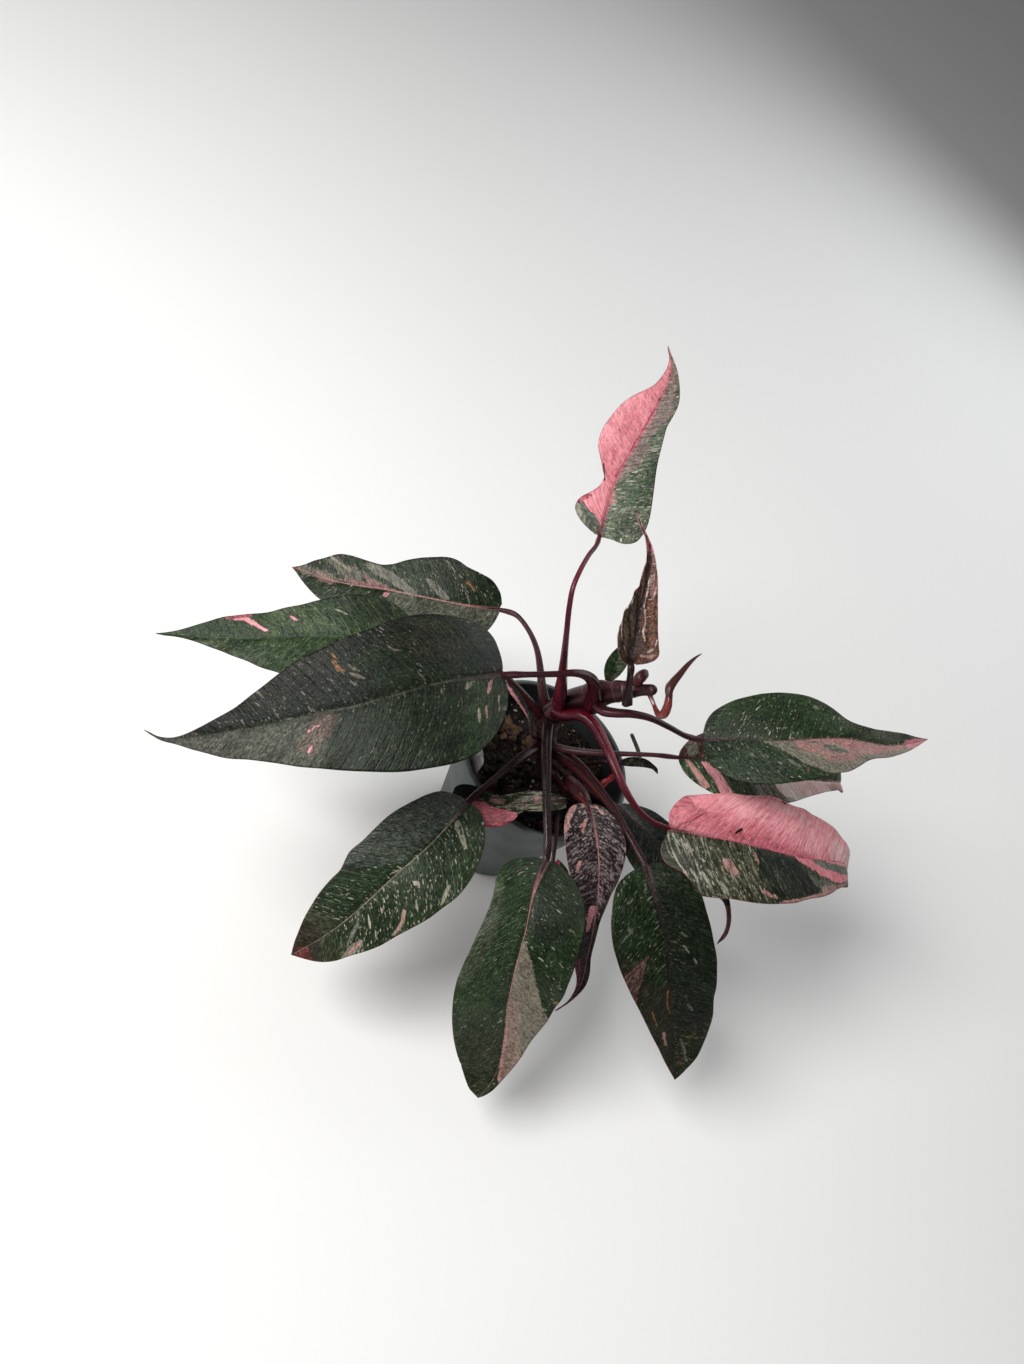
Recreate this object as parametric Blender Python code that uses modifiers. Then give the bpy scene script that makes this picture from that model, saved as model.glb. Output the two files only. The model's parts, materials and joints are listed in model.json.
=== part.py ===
"""Pink princess philodendron in a round nursery pot, built at real size.

Metres, +Z up.  The origin is the centre of the pot's underside.

The plant is irregular, so its stalks and blades are set out the way they
were measured: each measured point is a picture-plane position of one
reference view (columns, rows) and a height in centimetres above the rim
plane of the pot.  The reference view looks down on the pot from the front,
and sight() turns a picture-plane position into a line through the model.
"""
import bpy
import bmesh
import math
import numpy as np
from mathutils import Vector, Matrix

# ------------------------------------------------------------------
# driving dimensions (metres)
# ------------------------------------------------------------------
POT_HEIGHT = 0.105
POT_RIM_R = 0.060          # outside of the rolled lip
POT_BODY_R = 0.0566        # outside, just under the lip
POT_BASE_R = 0.0385
POT_WALL = 0.0014
LIP_DEPTH = 0.0075
FLOOR_THICK = 0.0016
DRAIN_HOLES = 6
DRAIN_HOLE_R = 0.0045
DRAIN_HOLE_PITCH_R = 0.0245
SOIL_DROP = 0.017          # soil level below the rim
GAP = 0.0003               # clearance between pieces that touch
BLADE_THICK = 0.0011
STEM_R_LOW = 0.0058
STEM_R_TOP = 0.0038
STEM_SOCKET = 0.016        # depth of the stem in the mix
LABEL_WIDTH = 0.016
LABEL_THICK = 0.0008

# reference view: distance from the rim centre, elevation, roll, and the
# place of the rim centre in a picture plane of focal length VIEW_F
VIEW_D, VIEW_EL, VIEW_ROLL = 0.6718, math.radians(48.82), math.radians(42.81)
VIEW_F, VIEW_C = 1025.0, (512.0, 682.0)
VIEW_RIM = (546.7, 756.6)

ROWS = 10                  # rows along a blade
COLS = 4                   # cells across a blade


# ------------------------------------------------------------------
# reference view
# ------------------------------------------------------------------
def view_axes():
    back = np.array([0.0, -math.cos(VIEW_EL), math.sin(VIEW_EL)])
    eye = back * VIEW_D + np.array([0, 0, POT_HEIGHT])
    fwd = -back
    right = np.array([1.0, 0.0, 0.0])
    up = np.cross(right, fwd)
    c, s = math.cos(VIEW_ROLL), math.sin(VIEW_ROLL)
    r = right * c + up * s
    u = -right * s + up * c
    n = np.array([(VIEW_RIM[0] - VIEW_C[0]) / VIEW_F, -(VIEW_RIM[1] - VIEW_C[1]) / VIEW_F, 1.0])
    n /= np.linalg.norm(n)
    a = np.cross([0, 0, 1.0], n)
    k = np.array([[0, -a[2], a[1]], [a[2], 0, -a[0]], [-a[1], a[0], 0]])
    rot = np.eye(3) + k + k @ k * ((1 - n[2]) / (a @ a))
    return eye, rot @ np.stack([r, u, fwd])


EYE, AXES = view_axes()


def sight(px, py):
    return AXES.T @ np.array([(px - VIEW_C[0]) / VIEW_F, -(py - VIEW_C[1]) / VIEW_F, 1.0])


def at_z(px, py, cm):
    d = sight(px, py)
    return EYE + d * ((POT_HEIGHT + cm * 0.01 - EYE[2]) / d[2])


def at_y(px, py, cm):
    d = sight(px, py)
    return EYE + d * ((cm * 0.01 - EYE[1]) / d[1])


def picture(p):
    v = (np.asarray(p) - EYE) @ AXES.T
    return np.stack([VIEW_C[0] + VIEW_F * v[..., 0] / v[..., 2],
                     VIEW_C[1] - VIEW_F * v[..., 1] / v[..., 2]], -1)


# ------------------------------------------------------------------
# smooth curves through measured points
# ------------------------------------------------------------------
def smooth(points, n):
    """Centripetal Catmull-Rom curve through the points, n+1 samples evenly
    spaced along its length."""
    p = np.asarray(points, float)
    if len(p) == 2:
        t = np.linspace(0, 1, n + 1)[:, None]
        return p[0] * (1 - t) + p[1] * t
    ext = np.vstack([2 * p[0] - p[1], p, 2 * p[-1] - p[-2]])
    out = []
    for i in range(len(p) - 1):
        p0, p1, p2, p3 = ext[i:i + 4]
        t0 = 0.0
        t1 = t0 + max(np.linalg.norm(p1 - p0), 1e-9) ** 0.5
        t2 = t1 + max(np.linalg.norm(p2 - p1), 1e-9) ** 0.5
        t3 = t2 + max(np.linalg.norm(p3 - p2), 1e-9) ** 0.5
        t = np.linspace(t1, t2, 25)[:-1, None]
        a1 = (t1 - t) / (t1 - t0) * p0 + (t - t0) / (t1 - t0) * p1
        a2 = (t2 - t) / (t2 - t1) * p1 + (t - t1) / (t2 - t1) * p2
        a3 = (t3 - t) / (t3 - t2) * p2 + (t - t2) / (t3 - t2) * p3
        b1 = (t2 - t) / (t2 - t0) * a1 + (t - t0) / (t2 - t0) * a2
        b2 = (t3 - t) / (t3 - t1) * a2 + (t - t1) / (t3 - t1) * a3
        out.append((t2 - t) / (t2 - t1) * b1 + (t - t1) / (t2 - t1) * b2)
    dense = np.vstack(out + [p[-1:]])
    return resample(dense, n)


def resample(dense, n):
    d = np.r_[0, np.cumsum(np.linalg.norm(np.diff(dense, axis=0), axis=1))]
    w = np.linspace(0, d[-1], n + 1)
    return np.stack([np.interp(w, d, dense[:, k]) for k in range(dense.shape[1])], -1)


def unit(v):
    return v / (np.linalg.norm(v) + 1e-12)


# ------------------------------------------------------------------
# a blade: midrib curve, two half blades hinged on it
# ------------------------------------------------------------------
class Blade:
    """mid: measured midrib points (column, row, cm above the rim) from the
    stalk to the tip; roll: tilt of the blade about its midrib; fold: rise
    of each half from the midrib; curl: droop of the margins."""

    def __init__(self, mid, roll=0.0, fold=10.0, curl=0.10, up=(0, 0, 1), place=at_z, tail=()):
        pts = [place(*m) for m in mid]
        for step in tail:                       # unseen end of the midrib
            pts.append(pts[-1] + np.array(step) * 0.01)
        self.mid = smooth(pts, 160)
        n = len(self.mid)
        t = np.gradient(self.mid, axis=0)
        kernel = np.hanning(27)
        kernel /= kernel.sum()
        pad = np.vstack([np.repeat(t[:1], 13, 0), t, np.repeat(t[-1:], 13, 0)])
        t = np.stack([np.convolve(pad[:, k], kernel, "valid") for k in range(3)], -1)
        self.t = np.array([unit(v) for v in t])
        self.length = np.linalg.norm(np.diff(self.mid, axis=0), axis=1).sum()
        up = unit(np.array(up, float))
        side = [unit(np.cross(self.t[0], up))]
        for i in range(1, n):                   # carried along without twist
            s = side[-1] - self.t[i] * (side[-1] @ self.t[i])
            side.append(unit(s))
        self.s = np.array(side)
        self.n = np.cross(self.s, self.t)
        c, s_ = math.cos(math.radians(roll)), math.sin(math.radians(roll))
        self.s, self.n = self.s * c + self.n * s_, self.n * c - self.s * s_
        self.fold = math.tan(math.radians(fold))
        self.curl = curl

    def frame(self, s):
        x = min(max(s, 0.0), 1.0) * (len(self.mid) - 1)
        i = min(int(x), len(self.mid) - 2)
        f = x - i
        mix = lambda a: a[i] * (1 - f) + a[i + 1] * f
        m, t = mix(self.mid), mix(self.t)
        m = m + t * (s - min(max(s, 0.0), 1.0)) * self.length
        return m, mix(self.s), mix(self.n)

    def point(self, s, q, lift=0.0):
        m, side, nrm = self.frame(s)
        a = abs(q)
        return m + side * q + nrm * (self.fold * a - self.curl * a * a / 0.03 + lift)

    def find(self, px, py, sign, s_max, guess=None):
        """Place (s, q) on one half of the blade that is seen at a picture
        position; guess is the neighbouring place along the margin."""
        target = np.array([px, py], float)
        if guess is None:
            mp = picture(self.mid)
            i = int(np.argmin(((mp - target) ** 2).sum(1)))
            s = i / (len(self.mid) - 1)
            m, side, _ = self.frame(s)
            e = picture(m + side * 0.001) - picture(m)
            q = float((target - mp[i]) @ e / (e @ e)) * 0.001
        else:
            s, q = guess
        for _ in range(40):
            f0 = picture(self.point(s, q)) - target
            if abs(f0).max() < 0.01:
                break
            h = 1e-4
            j = np.stack([(picture(self.point(s + h, q)) - target - f0) / h,
                          (picture(self.point(s, q + h)) - target - f0) / h], 1)
            step = np.linalg.lstsq(j, -f0, rcond=None)[0]
            step = np.clip(step, [-0.08, -0.004], [0.08, 0.004])
            s = float(np.clip(s + step[0], -0.3, s_max))
            q = float(np.clip(q + step[1], -0.07, 0.07))
            if sign and q * sign < 0.0004:
                q = 0.0004 * sign
        return s, q

    def margin(self, outline, rows, tail=(), s_max=1.0):
        """Outline of one side as rows+1 (s, q) pairs, stalk to tip."""
        px = smooth(outline, 72)
        sign = 0.0
        for k in (20, 28, 36):
            sign += math.copysign(1.0, self.find(*px[k], 0.0, s_max)[1])
        sign = math.copysign(1.0, sign)
        sq = []
        for p in px:
            sq.append(self.find(*p, sign, s_max, sq[-1] if sq else None))
        sq = np.array(sq)
        if len(tail):
            sq = np.vstack([sq, [(a, b * 0.01 * sign) for a, b in tail]])
        else:
            sq[-1] = (1.0, 0.0)
        scale = np.array([self.length, 1.0])
        return resample(sq * scale, rows) / scale


def blade_grid(blade, sides, rows, cols):
    """Rows follow the veins: each leaves the midrib behind the place where
    it reaches the margin.  Returns a grid of points, rows x (2*half+1)."""
    half = cols // 2
    grid = []
    both = []
    for m in sides:
        s_edge, q_edge = m[:, 0], m[:, 1]
        s_mid = s_edge - 0.65 * abs(q_edge) / blade.length
        s_mid = np.maximum(s_mid, 0.010 * np.arange(rows + 1) * 10 / rows)
        s_mid = np.clip(np.maximum.accumulate(s_mid), 0, 1)
        s_mid[0], s_mid[-1] = 0.0, 1.0
        both.append((s_mid, s_edge, q_edge))
    s_mid = (both[0][0] + both[1][0]) / 2
    for k in range(rows + 1):
        line = []
        for j in range(-half, half + 1):
            _, s_edge, q_edge = both[0] if j < 0 else both[1]
            v = abs(j) / half
            line.append(blade.point(s_mid[k] + (s_edge[k] - s_mid[k]) * v ** 1.25, q_edge[k] * v))
        grid.append(line)
    return np.array(grid)


# ------------------------------------------------------------------
# measured plant
# ------------------------------------------------------------------
# stem, from the soil to the growing tip: column, row, cm behind the pot axis
STEM = [(545.5, 768, 0.0), (546, 745, 0.0), (549, 722, 0.1), (560, 706, 0.3), (588, 696, 0.5),
        (613, 692, 0.6), (640, 690, 0.6), (657, 690, 0.6)]

# name: midrib, the two outlines, tilt, fold, curl
LEAVES = {
    "leaf_01": dict(
        place=at_y,
        mid=[(600, 535, 3.0), (607, 511, 4.2), (614, 485, 5.4), (626, 460, 6.6), (641, 434, 7.8), (655, 410, 8.8),
             (667, 385, 9.6), (671, 365, 10.0), (668, 346, 10.4)],
        a=[(595, 534), (588, 528), (580, 519), (575, 508), (577, 501), (582, 496), (588, 493), (595, 489), (600, 485),
           (603, 480), (605, 474), (604, 466), (601, 460), (599, 452), (598, 445), (600, 435), (604, 426), (609, 419),
           (616, 410), (625, 401), (636, 394), (647, 389), (655, 384), (662, 376), (667, 368), (669.5, 358),
           (669, 351), (668, 346)],
        b=[(602, 537), (606, 538), (613, 540), (620, 543), (628, 544), (636, 542), (642, 536), (647, 527), (650, 517),
           (652, 505), (654, 490), (656, 474), (658, 462), (661, 450), (664, 438), (667, 427), (671, 420), (676, 411),
           (679, 403), (680, 392), (679, 380), (677, 370), (674, 361), (671, 354), (668, 346)],
        up=(0.0, -0.8, 0.6), roll=-8, fold=12, curl=0.12),
    "leaf_02": dict(
        place=at_y,
        mid=[(631, 662, -0.6), (635, 642, -0.4), (639, 616, 0.0), (644, 593, 0.4), (649, 572, 0.8), (651, 556, 1.1),
             (648, 540, 1.3), (642, 526, 1.5), (637, 513, 1.7)],
        a=[(626, 664), (621, 659), (618, 650), (618, 636), (620, 625), (624, 614), (629, 605), (632, 596), (637, 588),
           (641, 580), (644, 570), (646, 558), (647, 547), (645, 538), (641, 530), (639, 522), (637, 513)],
        b=[(636, 665), (645, 664), (654, 661), (659, 656), (659, 646), (658, 630), (658, 615), (658, 600), (658, 585),
           (657, 570), (655, 556), (651, 543), (646, 532), (641, 522), (637, 513)],
        up=(0.0, -0.9, 0.4), roll=-30, fold=22, curl=0.05),
    "leaf_03": dict(
        mid=[(703, 739, 8.4), (740, 739, 9.9), (780, 740, 11.2), (820, 738, 12.1), (845, 738, 12.5), (865, 741, 12.7),
             (885, 745, 12.7), (905, 744, 12.7), (918, 742, 12.7), (928, 739, 12.7)],
        a=[(703, 733), (706, 722), (712, 713), (722, 706), (735, 700), (750, 696), (765, 693), (780, 693), (795, 693),
           (808, 696), (822, 702), (836, 711), (850, 720), (862, 726), (875, 729), (890, 731), (905, 734), (918, 737),
           (928, 739)],
        b=[(703, 745), (707, 757), (714, 766), (724, 774), (738, 780), (755, 783), (775, 784), (795, 782), (815, 779),
           (835, 774), (850, 771), (860, 766), (868, 761), (880, 758), (895, 756), (907, 752), (918, 746), (928, 739)],
        roll=-15, fold=8, curl=0.10),
    "leaf_04": dict(
        mid=[(679, 757, 5.6), (700, 759, 6.0), (740, 766, 6.4), (780, 774, 6.5), (815, 780, 6.1), (841, 783, 5.3)],
        tail=[(0.10, 0.30, -0.42), (-0.06, 0.44, -0.54), (-0.10, 0.42, -0.52)], s_max=0.86,
        a=[(680, 751), (686, 743), (696, 736), (710, 731), (730, 730), (750, 733), (770, 738), (790, 745), (810, 754),
           (825, 763), (839, 773)],
        b=[(679, 762), (684, 772), (693, 781), (705, 789), (722, 797), (745, 803), (768, 805), (793, 802), (805, 798),
           (815, 795), (826, 792), (839, 790)],
        a_tail=[(0.91, 0.75), (0.96, 0.35), (1.0, 0.0)], b_tail=[(0.91, 0.6), (0.96, 0.3), (1.0, 0.0)],
        roll=-20, fold=8, curl=0.10),
    "leaf_05": dict(
        mid=[(669, 828, 5.0), (690, 832, 5.6), (715, 837, 6.2), (740, 842, 6.6), (765, 848, 6.8), (795, 856, 6.8),
             (820, 860, 6.3), (845, 864, 5.4)],
        tail=[(0.6, 0.3, -0.6), (0.3, 0.1, -0.9), (0.0, 0.0, -0.9)], s_max=0.86,
        a=[(669, 823), (669, 815), (672, 808), (678, 801), (685, 796), (695, 795), (710, 794), (730, 793), (748, 795),
           (770, 796), (780, 799), (793, 805), (805, 810), (818, 817), (830, 825), (838, 832), (844, 839)],
        b=[(667, 833), (662, 844), (661, 853), (666, 863), (675, 868), (684, 873), (690, 881), (694, 889), (703, 896),
           (715, 898), (730, 899), (748, 902), (765, 904), (780, 904), (795, 903), (810, 899), (822, 897), (832, 893),
           (841, 888)],
        a_tail=[(0.90, 1.1), (0.95, 0.6), (1.0, 0.0)], b_tail=[(0.90, 1.1), (0.95, 0.6), (1.0, 0.0)],
        roll=-20, fold=6, curl=0.10),
    "leaf_06": dict(
        mid=[(619, 806, 2.2), (640, 826, 2.5), (665, 852, 2.4), (688, 873, 2.1), (706, 885, 1.6), (719, 894, 1.1),
             (727, 902, 0.7), (729, 915, 0.3), (727, 930, -0.2), (718, 944, -0.7)],
        a=[(624, 803), (640, 806), (655, 812), (668, 822), (690, 840), (710, 862), (722, 880), (729, 896), (731, 912),
           (730.5, 925), (726, 937), (718, 944)],
        b=[(614, 811), (617, 828), (623, 848), (632, 866), (650, 883), (672, 893), (695, 896), (712, 897),
           (721, 899), (726, 907), (726.5, 918), (724.5, 931), (718, 944)],
        roll=-20, fold=8, curl=0.08),
    "leaf_07": dict(
        mid=[(646, 865, 4.6), (650, 880, 4.7), (655, 896, 4.5), (660, 914, 4.1), (665, 936, 3.4), (669, 960, 2.5),
             (671, 985, 1.4), (672, 1010, 0.1), (674, 1040, -1.6), (675, 1080, -3.9)],
        a=[(641, 866), (632, 871), (624, 877), (618, 884), (614, 895), (612, 910), (611, 925), (613, 945), (617, 960),
           (622, 975), (630, 992), (640, 1012), (650, 1032), (660, 1052), (668, 1068), (675, 1080)],
        b=[(652, 863), (662, 863), (672, 867), (682, 873), (690, 880), (697, 889), (703, 898), (707, 912), (711, 928),
           (714, 942), (717, 957), (717, 975), (715, 995), (712, 1018), (707, 1035), (700, 1052), (690, 1065),
           (681, 1075), (675, 1080)],
        roll=-20, fold=10, curl=0.10),
    "leaf_08": dict(
        mid=[(588, 805, 2.6), (593, 820, 2.7), (597, 840, 2.4), (599, 860, 1.8), (599, 880, 1.0), (598, 900, 0.1),
             (595, 920, -0.9), (591, 942, -2.1), (586, 965, -3.3), (582, 982, -4.2), (571, 1000, -5.0),
             (556, 1011, -5.3)],
        a=[(581, 803), (572, 806), (566, 815), (564, 828), (565, 845), (568, 865), (572, 885), (575, 905), (576, 925),
           (575, 945), (574, 962), (576, 976), (576, 988), (571, 998), (563, 1006), (556, 1011)],
        b=[(594, 804), (601, 806), (610, 813), (618, 823), (624, 836), (626, 850), (624, 865), (619, 880), (612, 893),
           (607, 905), (602, 918), (598, 930), (594, 945), (591, 960), (590, 973), (586, 985), (578, 995),
           (568, 1004), (556, 1011)],
        roll=-15, fold=10, curl=0.10),
    "leaf_09": dict(
        mid=[(547, 860, 2.4), (541, 873, 2.7), (536, 886, 2.8), (532, 900, 2.7), (529, 915, 2.5), (526, 930, 2.1),
             (522, 945, 1.6), (518, 960, 1.0), (514, 975, 0.3), (511, 990, -0.5), (508, 1005, -1.3),
             (506, 1025, -2.5), (503, 1047, -3.7), (499, 1066, -4.7), (491, 1083, -5.5), (478, 1098, -6.0)],
        a=[(540, 858), (528, 857), (518, 858), (508, 862), (500, 868), (496, 878), (494, 890), (490, 905), (484, 920),
           (477, 935), (470, 950), (463, 965), (457, 980), (453, 1000), (452, 1020), (453, 1035), (456, 1050),
           (461, 1066), (466, 1081), (471, 1092), (478, 1098)],
        b=[(552, 861), (560, 866), (568, 873), (576, 884), (582, 897), (585, 910), (585, 925), (582, 940), (578, 957),
           (573, 973), (568, 985), (562, 999), (553, 1012), (546, 1022), (538, 1033), (530, 1043), (522, 1056),
           (512, 1069), (502, 1081), (492, 1091), (484, 1096), (478, 1098)],
        roll=-8, fold=9, curl=0.10),
    "leaf_10": dict(
        mid=[(468, 802, 2.2), (457, 815, 2.5), (445, 829, 2.5), (430, 845, 2.3), (412, 861, 1.9), (398, 873, 1.4),
             (383, 887, 0.7), (368, 901, -0.2), (350, 917, -1.3), (330, 932, -2.5), (308, 946, -3.7),
             (291, 955, -4.5)],
        a=[(462, 797), (452, 793), (440, 791), (428, 794), (415, 800), (400, 808), (388, 816), (375, 828), (362, 841),
           (350, 851), (345, 860), (340, 870), (330, 880), (320, 892), (312, 904), (305, 916), (299, 930), (294, 943),
           (291, 955)],
        b=[(475, 806), (482, 815), (485, 828), (485, 842), (481, 858), (475, 873), (467, 885), (457, 897), (443, 908),
           (428, 919), (412, 928), (397, 936), (382, 945), (366, 951), (350, 956), (335, 961), (320, 962), (305, 959),
           (291, 955)],
        roll=5, fold=9, curl=0.10),
    "leaf_11": dict(
        mid=[(502, 674, 8.6), (480, 677, 9.2), (455, 680, 9.5), (430, 685, 9.5), (405, 692, 9.3), (380, 699, 8.9),
             (355, 706, 8.4), (330, 711, 7.8), (300, 718, 7.0), (270, 725, 6.1), (240, 730, 5.2), (210, 735, 4.3),
             (180, 739, 3.4), (160, 738, 3.0), (144, 730, 2.8)],
        a=[(503, 669), (502, 660), (499, 650), (495, 640), (489, 632), (478, 624), (465, 619), (450, 616), (435, 614),
           (420, 614), (405, 617), (390, 620), (375, 626), (355, 634), (335, 642), (315, 651), (295, 662), (278, 674),
           (260, 688), (240, 704), (220, 716), (200, 727), (185, 734), (172, 737.5), (159, 736.5), (144, 730)],
        b=[(505, 679), (508, 690), (508, 702), (506, 713), (500, 727), (490, 742), (478, 753), (462, 761), (448, 765),
           (425, 769), (400, 772), (375, 772), (350, 771), (325, 769), (300, 767), (275, 763), (250, 760), (225, 758),
           (205, 753), (190, 749), (175, 744), (160, 740), (144, 730)],
        roll=15, fold=8, curl=0.08),
    "leaf_12": dict(
        mid=[(456, 641, 5.6), (430, 640, 6.2), (400, 639, 6.4), (370, 638, 6.3), (340, 637, 6.0), (310, 636, 5.4),
             (280, 637, 4.7), (250, 638, 3.9), (220, 638, 3.2), (190, 636, 2.6), (170, 634, 2.3), (156, 633, 2.1)],
        a=[(453, 634), (443, 627), (428, 622), (410, 616), (402, 609), (392, 603), (380, 598), (365, 595), (350, 595),
           (335, 597), (318, 600), (300, 605), (280, 609), (260, 613), (240, 615), (222, 617), (205, 622), (190, 627),
           (178, 630), (166, 632), (156, 633)],
        b=[(452, 650), (438, 664), (415, 675), (385, 682), (355, 685), (325, 684), (300, 680), (278, 673), (260, 667),
           (245, 660), (230, 655), (215, 649), (203, 644), (190, 640), (176, 636.5), (164, 635), (156, 633)],
        roll=12, fold=8, curl=0.08),
    "leaf_13": dict(
        mid=[(500, 609, 5.2), (480, 607, 5.2), (460, 604, 5.0), (440, 600, 4.7), (415, 595, 4.2), (390, 590, 3.6),
             (370, 587, 3.1), (350, 584, 2.6), (335, 581, 2.2), (320, 577, 1.8), (305, 571, 1.4), (292, 567, 1.1)],
        a=[(502, 604), (501, 595), (498, 588), (492, 580), (480, 573), (468, 567), (458, 560), (448, 557), (435, 557),
           (420, 558), (405, 560), (393, 564), (383, 565), (372, 562), (360, 558), (350, 555), (340, 554), (328, 557),
           (315, 560), (303, 565), (292, 567)],
        b=[(499, 614), (494, 623), (486, 632), (470, 640), (445, 643), (420, 640), (395, 632), (370, 622), (345, 611),
           (325, 602), (317, 597), (308, 588), (300, 578), (296, 572), (292, 567)],
        roll=20, fold=8, curl=0.08),
    # small blades low in the pot
    "leaf_14": dict(
        mid=[(566, 802, 1.6), (548, 801, 2.0), (528, 802, 2.2), (508, 804, 2.1), (490, 804, 1.8), (472, 800, 1.4),
             (452, 794, 0.9)],
        a=[(566, 797), (556, 794), (540, 791), (525, 791), (508, 794), (496, 795), (486, 791), (475, 786),
           (463, 784), (455, 787), (452, 794)],
        b=[(566, 808), (552, 811), (535, 811), (521, 812.5), (514, 820), (502, 826), (488, 827), (476, 822),
           (466, 812), (458, 802), (452, 794)],
        roll=0, fold=4, curl=0.05),
    "leaf_15": dict(
        place=at_y,
        mid=[(609, 681, 2.2), (613, 668, 2.3), (618, 656, 2.4), (626, 646, 2.5), (635, 640, 2.6)],
        a=[(605, 680), (604, 671), (606, 662), (611, 654), (617, 648), (626, 642), (635, 640)],
        b=[(613, 681), (620, 675), (626, 667), (630, 657), (633, 648), (635, 640)],
        up=(0.0, -0.8, 0.6), roll=0, fold=10, curl=0.05),
    "leaf_16": dict(
        mid=[(554, 862, 0.6), (557, 880, 0.6), (556, 898, 0.4), (552, 915, 0.0), (546, 934, -0.6)],
        a=[(550, 862), (545, 872), (542, 888), (541, 905), (542, 920), (546, 934)],
        b=[(558, 859), (564, 865), (568, 871), (569, 880), (567, 895), (560, 915), (546, 934)],
        roll=0, fold=6, curl=0.05),
    "leaf_17": dict(
        mid=[(530, 727, 4.2), (527, 715, 4.7), (520, 702, 5.1), (512, 690, 5.3), (504, 680, 5.4)],
        a=[(529, 726), (527, 718), (523, 711), (516, 701), (509, 692), (504, 680)],
        b=[(531, 726), (531, 718), (528, 708), (522, 697), (514, 687), (504, 680)],
        roll=60, fold=14, curl=0.05),
    "leaf_18": dict(
        mid=[(621, 763, 2.2), (632, 761.5, 2.4), (642, 762, 2.4), (650, 765, 2.3), (655.5, 769, 2.1), (658, 774, 1.9)],
        a=[(621, 765.5), (630, 766.5), (640, 767), (648, 768), (653, 769.5), (655.5, 772), (658, 774)],
        b=[(621, 760), (628, 757.5), (638, 757), (647, 759.5), (653, 764), (657.5, 769), (658, 774)],
        roll=-30, fold=6, curl=0.05),
}

# stalks: place on the stem it leaves from, measured points, base and end
# radius (mm).  The last point is the foot of the blade.
STALKS = {
    "leaf_01": ((567, 703), [(562, 690, 6.4), (563, 672, 8.5), (565, 645, 11.0), (569, 610, 13.2), (576, 580, 14.4),
                             (587, 555, 14.6)], 3.1, 1.5),
    "leaf_02": ((629, 691), [(629, 697, 9.0), (629, 688, 10.1), (629, 676, 11.2)], 1.8, 1.4),
    "leaf_03": ((601, 693), [(606, 708, 7.5), (618, 712, 7.9), (632, 713, 8.2), (650, 717, 8.4), (668, 726, 8.4),
                             (686, 736, 8.3)], 2.5, 1.5),
    "leaf_04": ((546, 739), [(556, 746, 2.2), (575, 751, 2.9), (600, 753, 3.7), (630, 754, 4.6), (655, 755, 5.2)],
                2.3, 1.4),
    "leaf_05": ((556, 710), [(566, 713, 4.8), (581, 716, 5.6), (593, 724, 5.9), (604, 742, 6.1), (614, 765, 6.2),
                             (627, 793, 6.0), (640, 812, 5.6), (654, 823, 5.2)], 3.2, 1.7),
    "leaf_06": ((546, 762), [(558, 768, 0.1), (578, 784, 0.6), (600, 798, 1.4), (612, 804, 1.9)], 1.8, 1.3),
    "leaf_07": ((546, 751), [(557, 756, 1.4), (577, 768, 2.2), (597, 787, 3.0), (614, 810, 3.8), (630, 837, 4.3)],
                3.2, 1.7),
    "leaf_08": ((546, 768), [(552, 778, -0.5), (562, 786, 0.6), (573, 793, 1.6), (582, 799, 2.2)], 2.1, 1.5),
    "leaf_09": ((548.5, 722), [(547, 733, 3.3), (545.5, 755, 3.4), (546, 785, 3.3), (546.5, 815, 3.0),
                               (547, 843, 2.6)], 2.9, 2.0),
    "leaf_10": ((546, 748), [(535, 748, 1.6), (521, 757, 2.0), (503, 772, 2.3), (485, 787, 2.3)], 2.4, 1.5),
    "leaf_11": ((593, 696), [(594.5, 689, 8.0), (592.5, 681, 8.9), (585, 675, 9.6), (573, 673, 9.8), (558, 674, 9.6),
                             (532, 674.5, 9.1)], 3.1, 1.7),
    "leaf_12": ((548, 726), [(539, 714, 2.9), (526, 697, 4.0), (512, 682, 4.9), (495, 668, 5.4), (474, 652, 5.6)],
                2.2, 1.4),
    "leaf_13": ((555, 711), [(544, 697, 3.6), (541, 672, 4.5), (537, 650, 5.2), (529, 631, 5.6), (516, 615, 5.6)],
                2.2, 1.4),
    "leaf_14": (None, [(561, 791, -1.25), (563, 794, -0.6), (565, 799, 0.6)], 1.5, 1.2),
    "leaf_15": ((602, 693), [(607, 684, 7.1)], 1.5, 1.2),
    "leaf_16": (None, [(549, 785, -1.25), (553, 796, -0.2), (557, 815, 0.7), (556, 838, 0.8)], 1.4, 1.2),
    "leaf_17": ((546, 738), [(538, 737, 2.9), (532, 736, 3.8)], 1.4, 1.1),
    "leaf_18": (None, [(580, 765, -1.25), (588, 764, 0.1), (605, 762, 1.7)], 1.4, 1.1),
}

# dry stub of an old stalk beside leaf_18
STUB = [(639, 757, 2.85), (637, 747, 3.2), (631.5, 734, 3.6)]
STUB_R = (1.1, 1.3, 1.2)

# sheath that wraps the newest leaf, bent like an elbow, and the rolled leaf
SHEATH = [(651, 697.5, 9.8), (654, 707, 9.7), (657, 715.5, 9.8), (662, 716, 10.0), (665, 706, 10.4), (667, 696, 10.7)]
SHEATH_R = (1.5, 1.6, 1.8, 2.2, 2.2, 1.6)
SPIKE = [(667.5, 692, 10.9), (668, 685, 11.1), (676, 675, 11.5), (688, 663, 11.9), (701, 653.5, 12.2)]
SPIKE_R = (1.5, 2.2, 2.0, 1.2, 0.35)
BUD = [(634, 676, 9.9), (638, 676, 10.1), (643, 677, 10.2), (648, 678, 10.3)]
BUD_R = (1.6, 2.6, 2.4, 1.0)

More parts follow.
